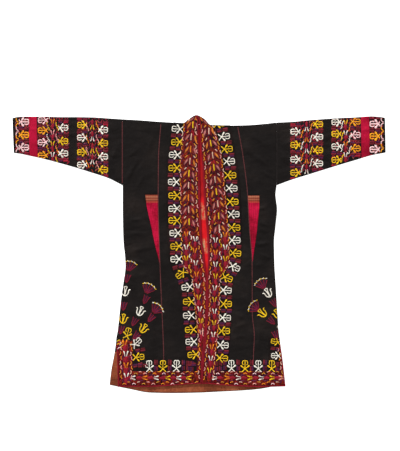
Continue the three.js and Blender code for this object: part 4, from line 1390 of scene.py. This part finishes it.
# Tulips lying along the hem, and standing up the left slit.
HEM_TULIP_LINE = -494
HEM_TULIPS_LEFT = [
    (-264, "ivory"), (-217, "orange"), (-171, "ivory"), (-124, "yellow"), (-81, "ivory"),
    (-41, "yellow"),
]
HEM_TULIPS_RIGHT = [
    (63, "ivory"), (112, "orange"), (158, "ivory"), (204, "yellow"), (249, "ivory"),
    (292, "yellow"), (329, "pink"),
]
SLIT_TULIPS_LEFT = [
    (-296, -352, "orange"), (-292, -398, "ivory"), (-291, -444, "orange"), (-290, -486, "ivory"),
]

# Outer rows of hooks along the stitched ground. Columns: y, x.
OUTER_HOOKS_LEFT = [
    (524, -58), (456, -67), (376, -74), (116, -74), (36, -69), (-40, -64), (-64, -48), (-100, -26),
    (-184, -18), (-248, -11), (-336, -1), (-420, 2), (-500, -2),
]
OUTER_HOOKS_RIGHT = [
    (508, 52), (456, 72), (396, 87), (344, 95), (264, 101), (192, 108), (112, 116), (56, 120),
    (-32, 120), (-100, 84), (-248, 80), (-304, 76), (-368, 68), (-424, 62), (-464, 58),
]


# How the petals of a feather stand beside its stalk. Columns: along, aside, lean in degrees.
OUTER_PETAL = (-2, 15.5, 30)
INNER_PETAL = (-6.5, 17, 17)
PETAL_COLOURS = (("amber", "gold", "cream"), ("plum", "mauve", "ochre"))  # body, vein, tip above

# Single petals in the peak at the neck. Columns: x, y, long axis in degrees, colours.
NECK_PETALS = [
    (-44, 527, 52, 0), (-29, 539, 40, 1), (-12, 545, 62, 0), (9, 541, 118, 0), (26, 527, 132, 1),
    (8, 512, 104, 0), (46, 508, 140, 0),
]


# Petals of three layers, each higher than the one below.
PETAL_HEIGHTS = (0.4, 0.75, 1.05)
NECK_PETAL_SIZE = 0.8
FEATHER_COUNT = 9
FEATHER_LOOK_AHEAD = 10
FEATHER_CORNER = (19, 16)
CHEVRON_COLOURS = dict(shade="night", rib="wine", edge="maroon")
BRAID_TO_HOOKS = 11  # from the opening to the row of hooks beside its braid


def petal(region, place, turn, kind, size=1.0, veined=True):
    body, vein, _ = PETAL_COLOURS[kind]
    layers = zip((PETAL_LINE, PETAL, PETAL_VEIN), ("night", body, vein), PETAL_HEIGHTS)
    for motif, colour, height in list(layers)[:3 if veined else 2]:
        draw(region, motif, dict(thread=colour), place, turn, size, height=height)


def feather(region, line, top, phase, outer_side):
    """A column of petals in pairs on a spine of short stalks."""
    for k in range(FEATHER_COUNT):
        y = top - k * FEATHER_PITCH
        x, above = float(line(y)), float(line(y + FEATHER_LOOK_AHEAD))
        turn = math.degrees(math.atan2(FEATHER_LOOK_AHEAD, above - x))
        stalk = STALK_COLOURS[(k + phase) % 2]
        stalk = "orange" if (stalk, k % 4) == ("yellow", 2) else stalk
        draw(region, CHEVRON, CHEVRON_COLOURS, (x, y), turn, height=0.5)
        draw(region, STALK, dict(stalk=stalk), (x, y), turn)
        for side in (1, -1):
            kind = (k + phase + (side < 0)) % 2
            along, aside, lean = OUTER_PETAL if side == outer_side else INNER_PETAL
            centre = turned([(along, aside)], turn, (x, y), flip=side)[0]
            petal(region, centre, turn - side * lean, kind)
            corner = turned([FEATHER_CORNER], turn, (x, y), flip=side)[0]
            draw(region, FEATHER_TIP, dict(thread=PETAL_COLOURS[kind][2]), corner, turn, flip=side)


def tulip(region, x, y, colour, turn=90, scale=1.0):
    heart = "purple" if colour in ("ivory", "pink") else "brick"
    colours = dict(thread=colour, bud="crimson", core="maroon", shade="purple", heart=heart)
    draw(region, TULIP, colours, (x, y), turn, scale)


# The two hooks of a separator. Columns: aside, down, mirrored or not.
SEPARATOR_HOOKS = ((-3, 0, 1), (3, 18, -1))


def embroider_front(region, flowers, colours, feather_line, phase, outer_side, tulips, separators):
    flower_column(region, flowers, colours)
    feather(region, curve(feather_line), feather_line[0][0], phase, outer_side)
    for x, y, turn, kind in NECK_PETALS:
        if (x < 0) == (region == "front_left"):
            petal(region, (x, y), turn, kind, NECK_PETAL_SIZE, False)
    for x, y, colour in tulips:
        tulip(region, x, y, colour)
    for k, (x, y) in enumerate(separators):
        for aside, down, flip in SEPARATOR_HOOKS:
            hook(region, IVORY_YELLOW[k % 2], (x + aside, y - down), 90, flip=flip)


def embroider_fronts():
    embroider_front("front_left", FLOWERS_LEFT, IVORY_YELLOW, FEATHER_LEFT, 0, 1,
                    TULIPS_LEFT, SEPARATORS_LEFT)
    embroider_front("front_right", FLOWERS_RIGHT, IVORY_YELLOW[::-1], FEATHER_RIGHT, 1, -1,
                    TULIPS_RIGHT, SEPARATORS_RIGHT)
    hook_row("front_left", moved(opening_left, -BRAID_TO_HOOKS), 510, -330)
    hook_row("front_right", moved(opening_right, BRAID_TO_HOOKS), 500, -505, phase=1)
    hook_row("front_left", curve(OUTER_HOOKS_LEFT), 524, -500, phase=2)
    hook_row("front_right", curve(OUTER_HOOKS_RIGHT), 508, -500, phase=3)


SLIT_FLOWER_SIZE = 0.86
LOOSE_BAR_SIZE = 0.9
SLIT_TULIP_SIZE = 1.12
# Rows of peaks along the hem. Columns: region, y, from x, to x, phase of the colours.
HEM_PEAKS = [
    ("hem_left", -477, -262, 0, 1), ("hem_left", -518, -308, 0, 3),
    ("hem_right", -477, 66, 322, 0), ("hem_right", -518, 66, 322, 2),
]


def embroider_hem():
    flower_column("hem_left", HEM_FLOWERS_LEFT, IVORY_YELLOW)
    flower_column("hem_right", HEM_FLOWERS_RIGHT, IVORY_YELLOW)
    flower_column("hem_left", SLIT_FLOWERS_LEFT, IVORY_YELLOW[::-1], barred=False)
    flower_column("hem_right", SLIT_FLOWERS_RIGHT, IVORY_YELLOW, scale=SLIT_FLOWER_SIZE)
    for k, (x, y, turn) in enumerate(LOOSE_BARS):
        region = "hem_left" if x < 0 else "hem_right"
        draw(region, BAR, BAR_COLOURS[k % 3], (x, y), turn, LOOSE_BAR_SIZE)
    for x, colour in HEM_TULIPS_LEFT:
        tulip("hem_left", x, HEM_TULIP_LINE, colour, 0)
    for x, colour in HEM_TULIPS_RIGHT:
        tulip("hem_right", x, HEM_TULIP_LINE, colour, 180)
    for x, y, colour in SLIT_TULIPS_LEFT:
        tulip("hem_left", x, y, colour, scale=SLIT_TULIP_SIZE)
    for x, y, turn, colour in SLIT_LOOPS:
        hook("hem_left", colour, (x, y), turn)
    for row in HEM_PEAKS:
        hem_peaks(*row)
    hook_row("hem_left", level(-312), -348, -500, phase=0)
    hook_row("hem_left", level(-270), -352, -500, phase=2)
    hook_row("hem_right", moved(side_right, -9), -372, -500, phase=1)


# Branches growing from the slits. Columns: kind, x, y, direction in degrees, thread colour.
BRANCHES = [
    ("fan", -281, -70, 81, "yellow"), ("bud", -287, -96, 78, ""), ("anchor", -295, -150, 84, "ivory"),
    ("bud", -301, -207, 82, ""), ("anchor", -303, -260, 80, "yellow"), ("bud", -312, -302, 80, ""),
    ("fan", -212, -158, 65, "yellow"), ("bud", -213, -181, 65, ""), ("anchor", -235, -229, 66, "ivory"),
    ("bud", -258, -270, 62, ""), ("fan", -185, -236, 49, "ivory"), ("bud", -191, -255, 50, ""),
    ("anchor", -222, -298, 55, "yellow"), ("bud", -251, -326, 48, ""),
    ("fan", 262, -139, 119, "ivory"), ("anchor", 276, -156, 120, "ivory"), ("bud", 299, -195, 122, ""),
    ("anchor", 314, -240, 116, "yellow"), ("fan", 240, -226, 142, "yellow"),
    ("anchor", 254, -236, 140, "yellow"), ("bud", 289, -267, 138, ""), ("bud", 306, -322, 110, ""),
    ("tip", 316, -293, 120, "ivory"),
]
BRANCH_COLOURS = dict(outline="garnet", shade="purple")
FAN_SPREAD = (-38, 38, 9)  # angles of a fan's edge and the number of loops on it
FAN_REACH = 43
FAN_LOOP_TILT = 18


def fan(region, x, y, turn, colour):
    draw(region, FAN, BRANCH_COLOURS, (x, y), turn)
    low, high, count = FAN_SPREAD
    for k in range(count):
        angle = turn + low + (high - low) * k / (count - 1)
        place = turned([(FAN_REACH, 0)], angle, (x, y))[0]
        loop = IVORY_YELLOW[(k + (colour == "yellow")) % 2]
        draw(region, FAN_EDGE, dict(thread=loop), place, angle + 90 + FAN_LOOP_TILT * (-1) ** k)


def embroider_branches():
    for kind, x, y, turn, colour in BRANCHES:
        region = "branch_left" if x < 0 else "branch_right"
        if kind == "bud":
            draw(region, BUD, BRANCH_COLOURS, (x, y), turn)
        elif kind == "anchor":
            draw(region, ANCHOR, dict(thread=colour), (x, y), turn)
        elif kind == "tip":
            hook(region, colour, (x, y), turn)
        else:
            fan(region, x, y, turn, colour)


# Columns of flowers on the sleeves: side, x, head direction, two colours, and each y.
SLEEVE_FLOWERS = [
    ("left", -713, 0, ("rose", "tangerine"), (528, 476, 426)),
    ("left", -611, 180, ("rose", "tangerine"), (535, 494, 446, 394)),
    ("left", -555, 0, ("ivory", "yellow"), (504, 451, 402)),
    ("left", -454, 180, ("yellow", "ivory"), (516, 465, 407, 357)),
    ("left", -396, 0, ("ivory", "yellow"), (496, 443, 389, 337)),
    ("right", 398, 180, ("ivory", "yellow"), (489, 436, 378, 325)),
    ("right", 463, 0, ("yellow", "ivory"), (519, 468, 415, 362)),
    ("right", 562, 180, ("ivory", "yellow"), (527, 480, 430, 376)),
    ("right", 613, 0, ("tangerine", "rose"), (529, 476, 422)),
    ("right", 716, 180, ("rose", "tangerine"), (520, 471, 418)),
]
# Spines between two columns: side, x, direction, colours by turns, and each y.
SLEEVE_SPINES = [
    ("left", -585, 90, ("orange", "pink", "yellow", "ivory"), (530, 486, 442, 398)),
    ("left", -426, -90, ("yellow", "ivory"), (507, 460, 412, 368)),
    ("right", 430, -90, ("ivory", "orange"), (500, 457, 412, 371, 329)),
    ("right", 586, 90, ("yellow", "ivory", "orange", "ivory"), (527, 484, 440, 397)),
]
# Rows of slanting hooks between a spine and the flowers: side, x, colours by turns, and each y.
SLEEVE_HOOKS = [
    ("left", -603, ("ivory", "yellow"), (556, 510, 463, 417)),
    ("left", -567, ("yellow", "pink", "orange"), (509, 463, 417, 372)),
    ("left", -446, ("pink", "orange", "pink", "orange"), (507, 459, 411, 363)),
    ("left", -406, ("orange", "pink", "yellow", "pink"), (512, 460, 407, 356)),
    ("right", 412, ("orange", "ivory"), (480, 434, 388, 342)),
    ("right", 448, ("orange", "ivory", "yellow", "ivory"), (508, 462, 414, 366)),
    ("right", 572, ("ivory", "yellow"), (516, 470, 424, 382)),
    ("right", 602, ("orange", "ivory", "ivory"), (508, 462, 416)),
]
SLEEVE_HOOK_LEAN = {"left": 108, "right": 72}
# Closely stitched blocks of the sleeves: side, from x, to x, from y, to y.
SLEEVE_FILL = [
    ("left", -736, -684, 545, 395), ("left", -643, -519, 545, 340), ("left", -487, -362, 545, 300),
    ("right", 364, 495, 530, 296), ("right", 528, 644, 540, 340), ("right", 688, 737, 545, 395),
]
CUFF_HOOKS = (("left", -727, 0), ("right", 731, 1))
CUFF_HOOK_ROWS = range(534, 408, -17)
CUFF_HOOK_SIZE = 1.25
CUFF_LEAN = 32
CUFF_FROM = 700  # how far out the cuffs' flowers begin
SLEEVE_BAR_HALF_STEP = 26
SLEEVE_BAR_SIZE = 0.94
SLEEVE_TULIP_SIZE = 0.92
SLEEVE_HOOK_SIZE = 1.1
SLEEVE_HOOK_REACH = 9
SLEEVE_FLOWER = (0.96, 1.25)  # size, boldness of the lines
CUFF_FLOWER = (1.0, 1.5)


def embroider_sleeves():
    for side, x, turn, colours, rows in SLEEVE_FLOWERS:
        region = "sleeve_" + side
        places = [(x, y, turn) for y in rows]
        size, bold = CUFF_FLOWER if abs(x) > CUFF_FROM else SLEEVE_FLOWER
        flower_column(region, places, colours, SMALL_FLOWER, size, bold=bold)
        for y in (rows[0] + SLEEVE_BAR_HALF_STEP, rows[-1] - SLEEVE_BAR_HALF_STEP):
            draw(region, BAR, SLEEVE_BAR, (x, y), turn, SLEEVE_BAR_SIZE)
    for side, x, turn, colours, rows in SLEEVE_SPINES:
        for k, y in enumerate(rows):
            tulip("sleeve_" + side, x, y, colours[k % len(colours)], turn, SLEEVE_TULIP_SIZE)
    for side, x, colours, rows in SLEEVE_HOOKS:
        lean = SLEEVE_HOOK_LEAN[side]
        for k, y in enumerate(rows):
            for flip in (1, -1):
                place = turned([(flip * SLEEVE_HOOK_REACH, 0)], lean, (x, y))[0]
                colour = colours[k % len(colours)]
                hook("sleeve_" + side, colour, place, lean, SLEEVE_HOOK_SIZE, flip)
    for side, x, phase in CUFF_HOOKS:
        for k, y in enumerate(CUFF_HOOK_ROWS):
            colour = ("tangerine", "rose")[(k // 2 + phase) % 2]
            hook("sleeve_" + side, colour, (x, y), 90 + CUFF_LEAN * (-1) ** k, CUFF_HOOK_SIZE)


LOW_HEIGHT = 0.3  # of the stitches on the seams and of those that fill the ground
SEAM_STITCH = 14
SEAM_WIDTH = 4.0
# Stitched seams. Columns: region, line x(y), upper end, lower end, colour.
SEAMS = [
    ("seams_left", seam_left, 520, -430, "rosewood"),
    ("seams_right", seam_right, 508, -430, "rosewood"),
    ("armhole_left", level(-306.6), 530, 284, "rosewood"),
    ("armhole_right", level(311.6), 519, 284, "jet"),
]


def embroider_seams():
    """The dark lines of thread down the panel seams and round the armholes."""
    for region, line, high, low, colour in SEAMS:
        ys = np.linspace(high, low, round((high - low) / SEAM_STITCH) + 1)
        for start, end in zip(ys, ys[1:]):
            points = [(float(line(start)), start), (float(line(end)), end)]
            stitch(region, colour, points, SEAM_WIDTH, "bar", LOW_HEIGHT)


GROUND_FILL = ("crimson", "maroon", "purple", "brick", "night", "wine")
SLEEVE_GROUND = ("crimson", "garnet", "plum", "crimson", "garnet", "brick")
SLIT_GROUND = ("crimson", "crimson", "brick", "crimson", "purple", "wine")
FILL_STEP = (11.0, 15.0)  # spacing of the filling stitches across and along
FILL_WIDTH = 5.0
FILL_HALF_LENGTH = (5, 8)
FILL_TILT = 32
FILL_STRAY = (2, 3, 14)  # how far a filling stitch strays across, along and in its tilt
FILL_INSET = 8  # from the coat's sides and the sleeves' lower folds


def fill_ground():
    """Rows of dark stitches that show between the motifs of the stitched ground."""
    picked = np.random.default_rng(7)
    slit_left_inner, slit_right_inner = level(SLIT_GROUND_LEFT[0]), level(SLIT_GROUND_RIGHT[0])
    spans = [
        ("front_left", ground_left, front_edge_left, 520, -500, GROUND_FILL),
        ("front_right", front_edge_right, ground_right, 505, -500, GROUND_FILL),
        ("hem_left", moved(side_left, FILL_INSET), slit_left_inner, -352, -516, SLIT_GROUND),
        ("hem_right", slit_right_inner, moved(side_right, -FILL_INSET), -346, -516, SLIT_GROUND),
    ]
    spans += [("sleeve_" + side, level(low), level(high), top, foot, SLEEVE_GROUND)
              for side, low, high, top, foot in SLEEVE_FILL]
    across, along, lean = FILL_STRAY
    for region, first, second, high, low, colours in spans:
        for y in np.arange(high, low, -FILL_STEP[1]):
            left, right = float(first(y)), float(second(y))
            count = int((right - left) // FILL_STEP[0])
            for k in range(count):
                x = left + (right - left) * (k + 0.5) / count + picked.uniform(-across, across)
                colour = colours[picked.integers(len(colours))]
                tilt = 90 + (FILL_TILT if k % 2 else -FILL_TILT) + picked.uniform(-lean, lean)
                half = picked.uniform(*FILL_HALF_LENGTH)
                place = (x, y + picked.uniform(-along, along))
                if not region.startswith("sleeve") or sleeve_holds(region, x, y):
                    points = turned([(-half, 0), (half, 0)], tilt, place)
                    stitch(region, colour, points, FILL_WIDTH, height=LOW_HEIGHT)


def sleeve_holds(region, x, y):
    _, under = folds_of(SLEEVE_LEFT if region == "sleeve_left" else SLEEVE_RIGHT)
    return y > float(under(x)) + FILL_INSET


def within_coat(x, y):
    """Keeps stitch lines on the fronts, inside their edges."""
    y = np.clip(y, front_hem(x) + EDGE_MARGIN, collar_top(x) - EDGE_MARGIN)
    left, right = side_left(y) + EDGE_MARGIN, side_right(y) - EDGE_MARGIN
    middle = x < (opening_left(y) + opening_right(y)) / 2
    open_left, open_right = opening_left(y) - BRAID_WIDTH, opening_right(y) + BRAID_WIDTH
    x = np.where(middle, np.clip(x, left, open_left), np.clip(x, open_right, right))
    return x, y


def within_sleeve(table, inner, outer):
    """Keeps stitch lines on a sleeve, between two places along it and inside its folds."""
    top, under = folds_of(table)

    def limits(x, y):
        x = np.clip(x, min(inner, outer), max(inner, outer))
        return x, np.clip(y, under(x) + EDGE_MARGIN, top(x) - EDGE_MARGIN)

    return limits


GROUND_RIM = 0.5
GROUND_BUTT = 0.4  # distance between two grounds that meet
NECK_SHARE = 0.9  # how far up the collar the stitched ground reaches


def add_ground(name, first, second, low, high, columns):
    """A patch of closely stitched ground on a border."""
    rows = steps_for(float(high(0.0) - low(0.0)), BORDER_CELL)
    grid = patch([first, second], [low, high], (columns, rows))
    piece = cloth_shell("ground_" + name, grid, ground_under, ground_top, GROUND_STITCH, rim=GROUND_RIM)


def add_grounds():
    inset = BRAID_WIDTH + GROUND_CLEARANCE
    low = moved(front_hem, inset)
    neck = between(shoulder, collar_top, NECK_SHARE)
    hem_top = level(HEM_GROUND_TOP)
    left, left_top = SLIT_GROUND_LEFT
    right, right_top = SLIT_GROUND_RIGHT
    hem_left = (level(left + GROUND_BUTT), moved(ground_left, -GROUND_BUTT))
    hem_right = (moved(ground_right, GROUND_BUTT), level(right - GROUND_BUTT))
    add_ground("front_left", ground_left, front_edge_left, low, neck, 13)
    add_ground("front_right", front_edge_right, ground_right, low, neck, 14)
    add_ground("hem_left", *hem_left, low, hem_top, 52)
    add_ground("slit_left", moved(side_left, inset), level(left), low, level(left_top), 11)
    add_ground("hem_right", *hem_right, low, hem_top, 52)
    add_ground("slit_right", level(right), moved(side_right, -inset), low, level(right_top), 3)


add_grounds()
fill_ground()
embroider_fronts()
embroider_hem()
embroider_branches()
embroider_sleeves()
embroider_seams()
COAT_REGIONS = (
    "front_left", "front_right", "hem_left", "hem_right", "branch_left", "branch_right",
    "seams_left", "seams_right",
)
# Stitches on the sleeves. Columns: region, folds, and how far in and out the stitches lie.
SLEEVE_REGIONS = [
    ("sleeve_left", SLEEVE_LEFT, -309, -738), ("sleeve_right", SLEEVE_RIGHT, 314, 739),
    ("armhole_left", SLEEVE_LEFT, -300, -312), ("armhole_right", SLEEVE_RIGHT, 305, 317),
]
for part in COAT_REGIONS:
    sew(part, coat_surface, within_coat)
for part, *reach in SLEEVE_REGIONS:
    sew(part, panel_top, within_sleeve(*reach))


# The studio: a pale floor, soft light from above and the upper left, and a camera straight over
# the coat. The image is 400 by 451, and its longer side takes the sensor's width.
CAMERA_OVER = (4, 114.4)
VIEW_HEIGHT = 1804
LENS = 85
SENSOR = 36
FLOOR_WIDTH = 12.0
FLOOR_DROP = 0.0002
FLOOR_GLOW = 0.9  # makes the floor as white as the photo's background
SKY = 0.46
# Lights: name, place that they shine from, strength, width in degrees.
SUNS = [("key", (-0.9, 2.7, 1.15), 3.9, 6), ("fill", (-0.4, 0.3, 3.0), 0.5, 40)]


def add_floor():
    nodes = Nodes("paper")
    here = nodes.add("TexCoord").outputs["Object"]
    shade = nodes.ramp(nodes.noise(here, 3.0, 2), [(0.3, (244, 244, 243)), (0.7, (249, 249, 248))])
    nodes.shade(
        Base_Color=shade, Roughness=0.9, Specular_IOR_Level=0.0,
        Emission_Color=shade, Emission_Strength=FLOOR_GLOW)
    mesh = bpy.data.meshes.new("floor")
    half = FLOOR_WIDTH / 2
    corners = [(-half, -half, 0), (half, -half, 0), (half, half, 0), (-half, half, 0)]
    mesh.from_pydata(corners, [], [(0, 1, 2, 3)])
    mesh.materials.append(nodes.material)
    floor = bpy.data.objects.new("floor", mesh)
    floor.location.z = -FLOOR_DROP
    bpy.context.scene.collection.objects.link(floor)


def add_sun(name, place, strength, softness):
    """A distant light that shines from a place towards the middle of the coat."""
    light = bpy.data.lights.new(name, "SUN")
    light.energy = strength
    light.angle = math.radians(softness)
    lamp = bpy.data.objects.new(name, light)
    lamp.rotation_euler = (-Vector(place)).to_track_quat("-Z", "Y").to_euler()
    bpy.context.scene.collection.objects.link(lamp)


def add_studio():
    scene = bpy.context.scene
    scene.view_settings.view_transform = "Standard"
    world = bpy.data.worlds.new("sky")
    world.use_nodes = True
    background = world.node_tree.nodes["Background"].inputs
    background["Color"].default_value = (1, 1, 1, 1)
    background["Strength"].default_value = SKY
    scene.world = world
    for sun in SUNS:
        add_sun(*sun)
    camera = bpy.data.cameras.new("camera")
    camera.lens = LENS
    camera.sensor_width = SENSOR
    camera.dof.use_dof = False
    camera.clip_end = 50
    view = bpy.data.objects.new("camera", camera)
    distance = VIEW_HEIGHT * LENS / SENSOR
    view.location = (CAMERA_OVER[0] * MM, CAMERA_OVER[1] * MM, distance * MM)
    scene.collection.objects.link(view)
    scene.camera = view


add_floor()
add_studio()
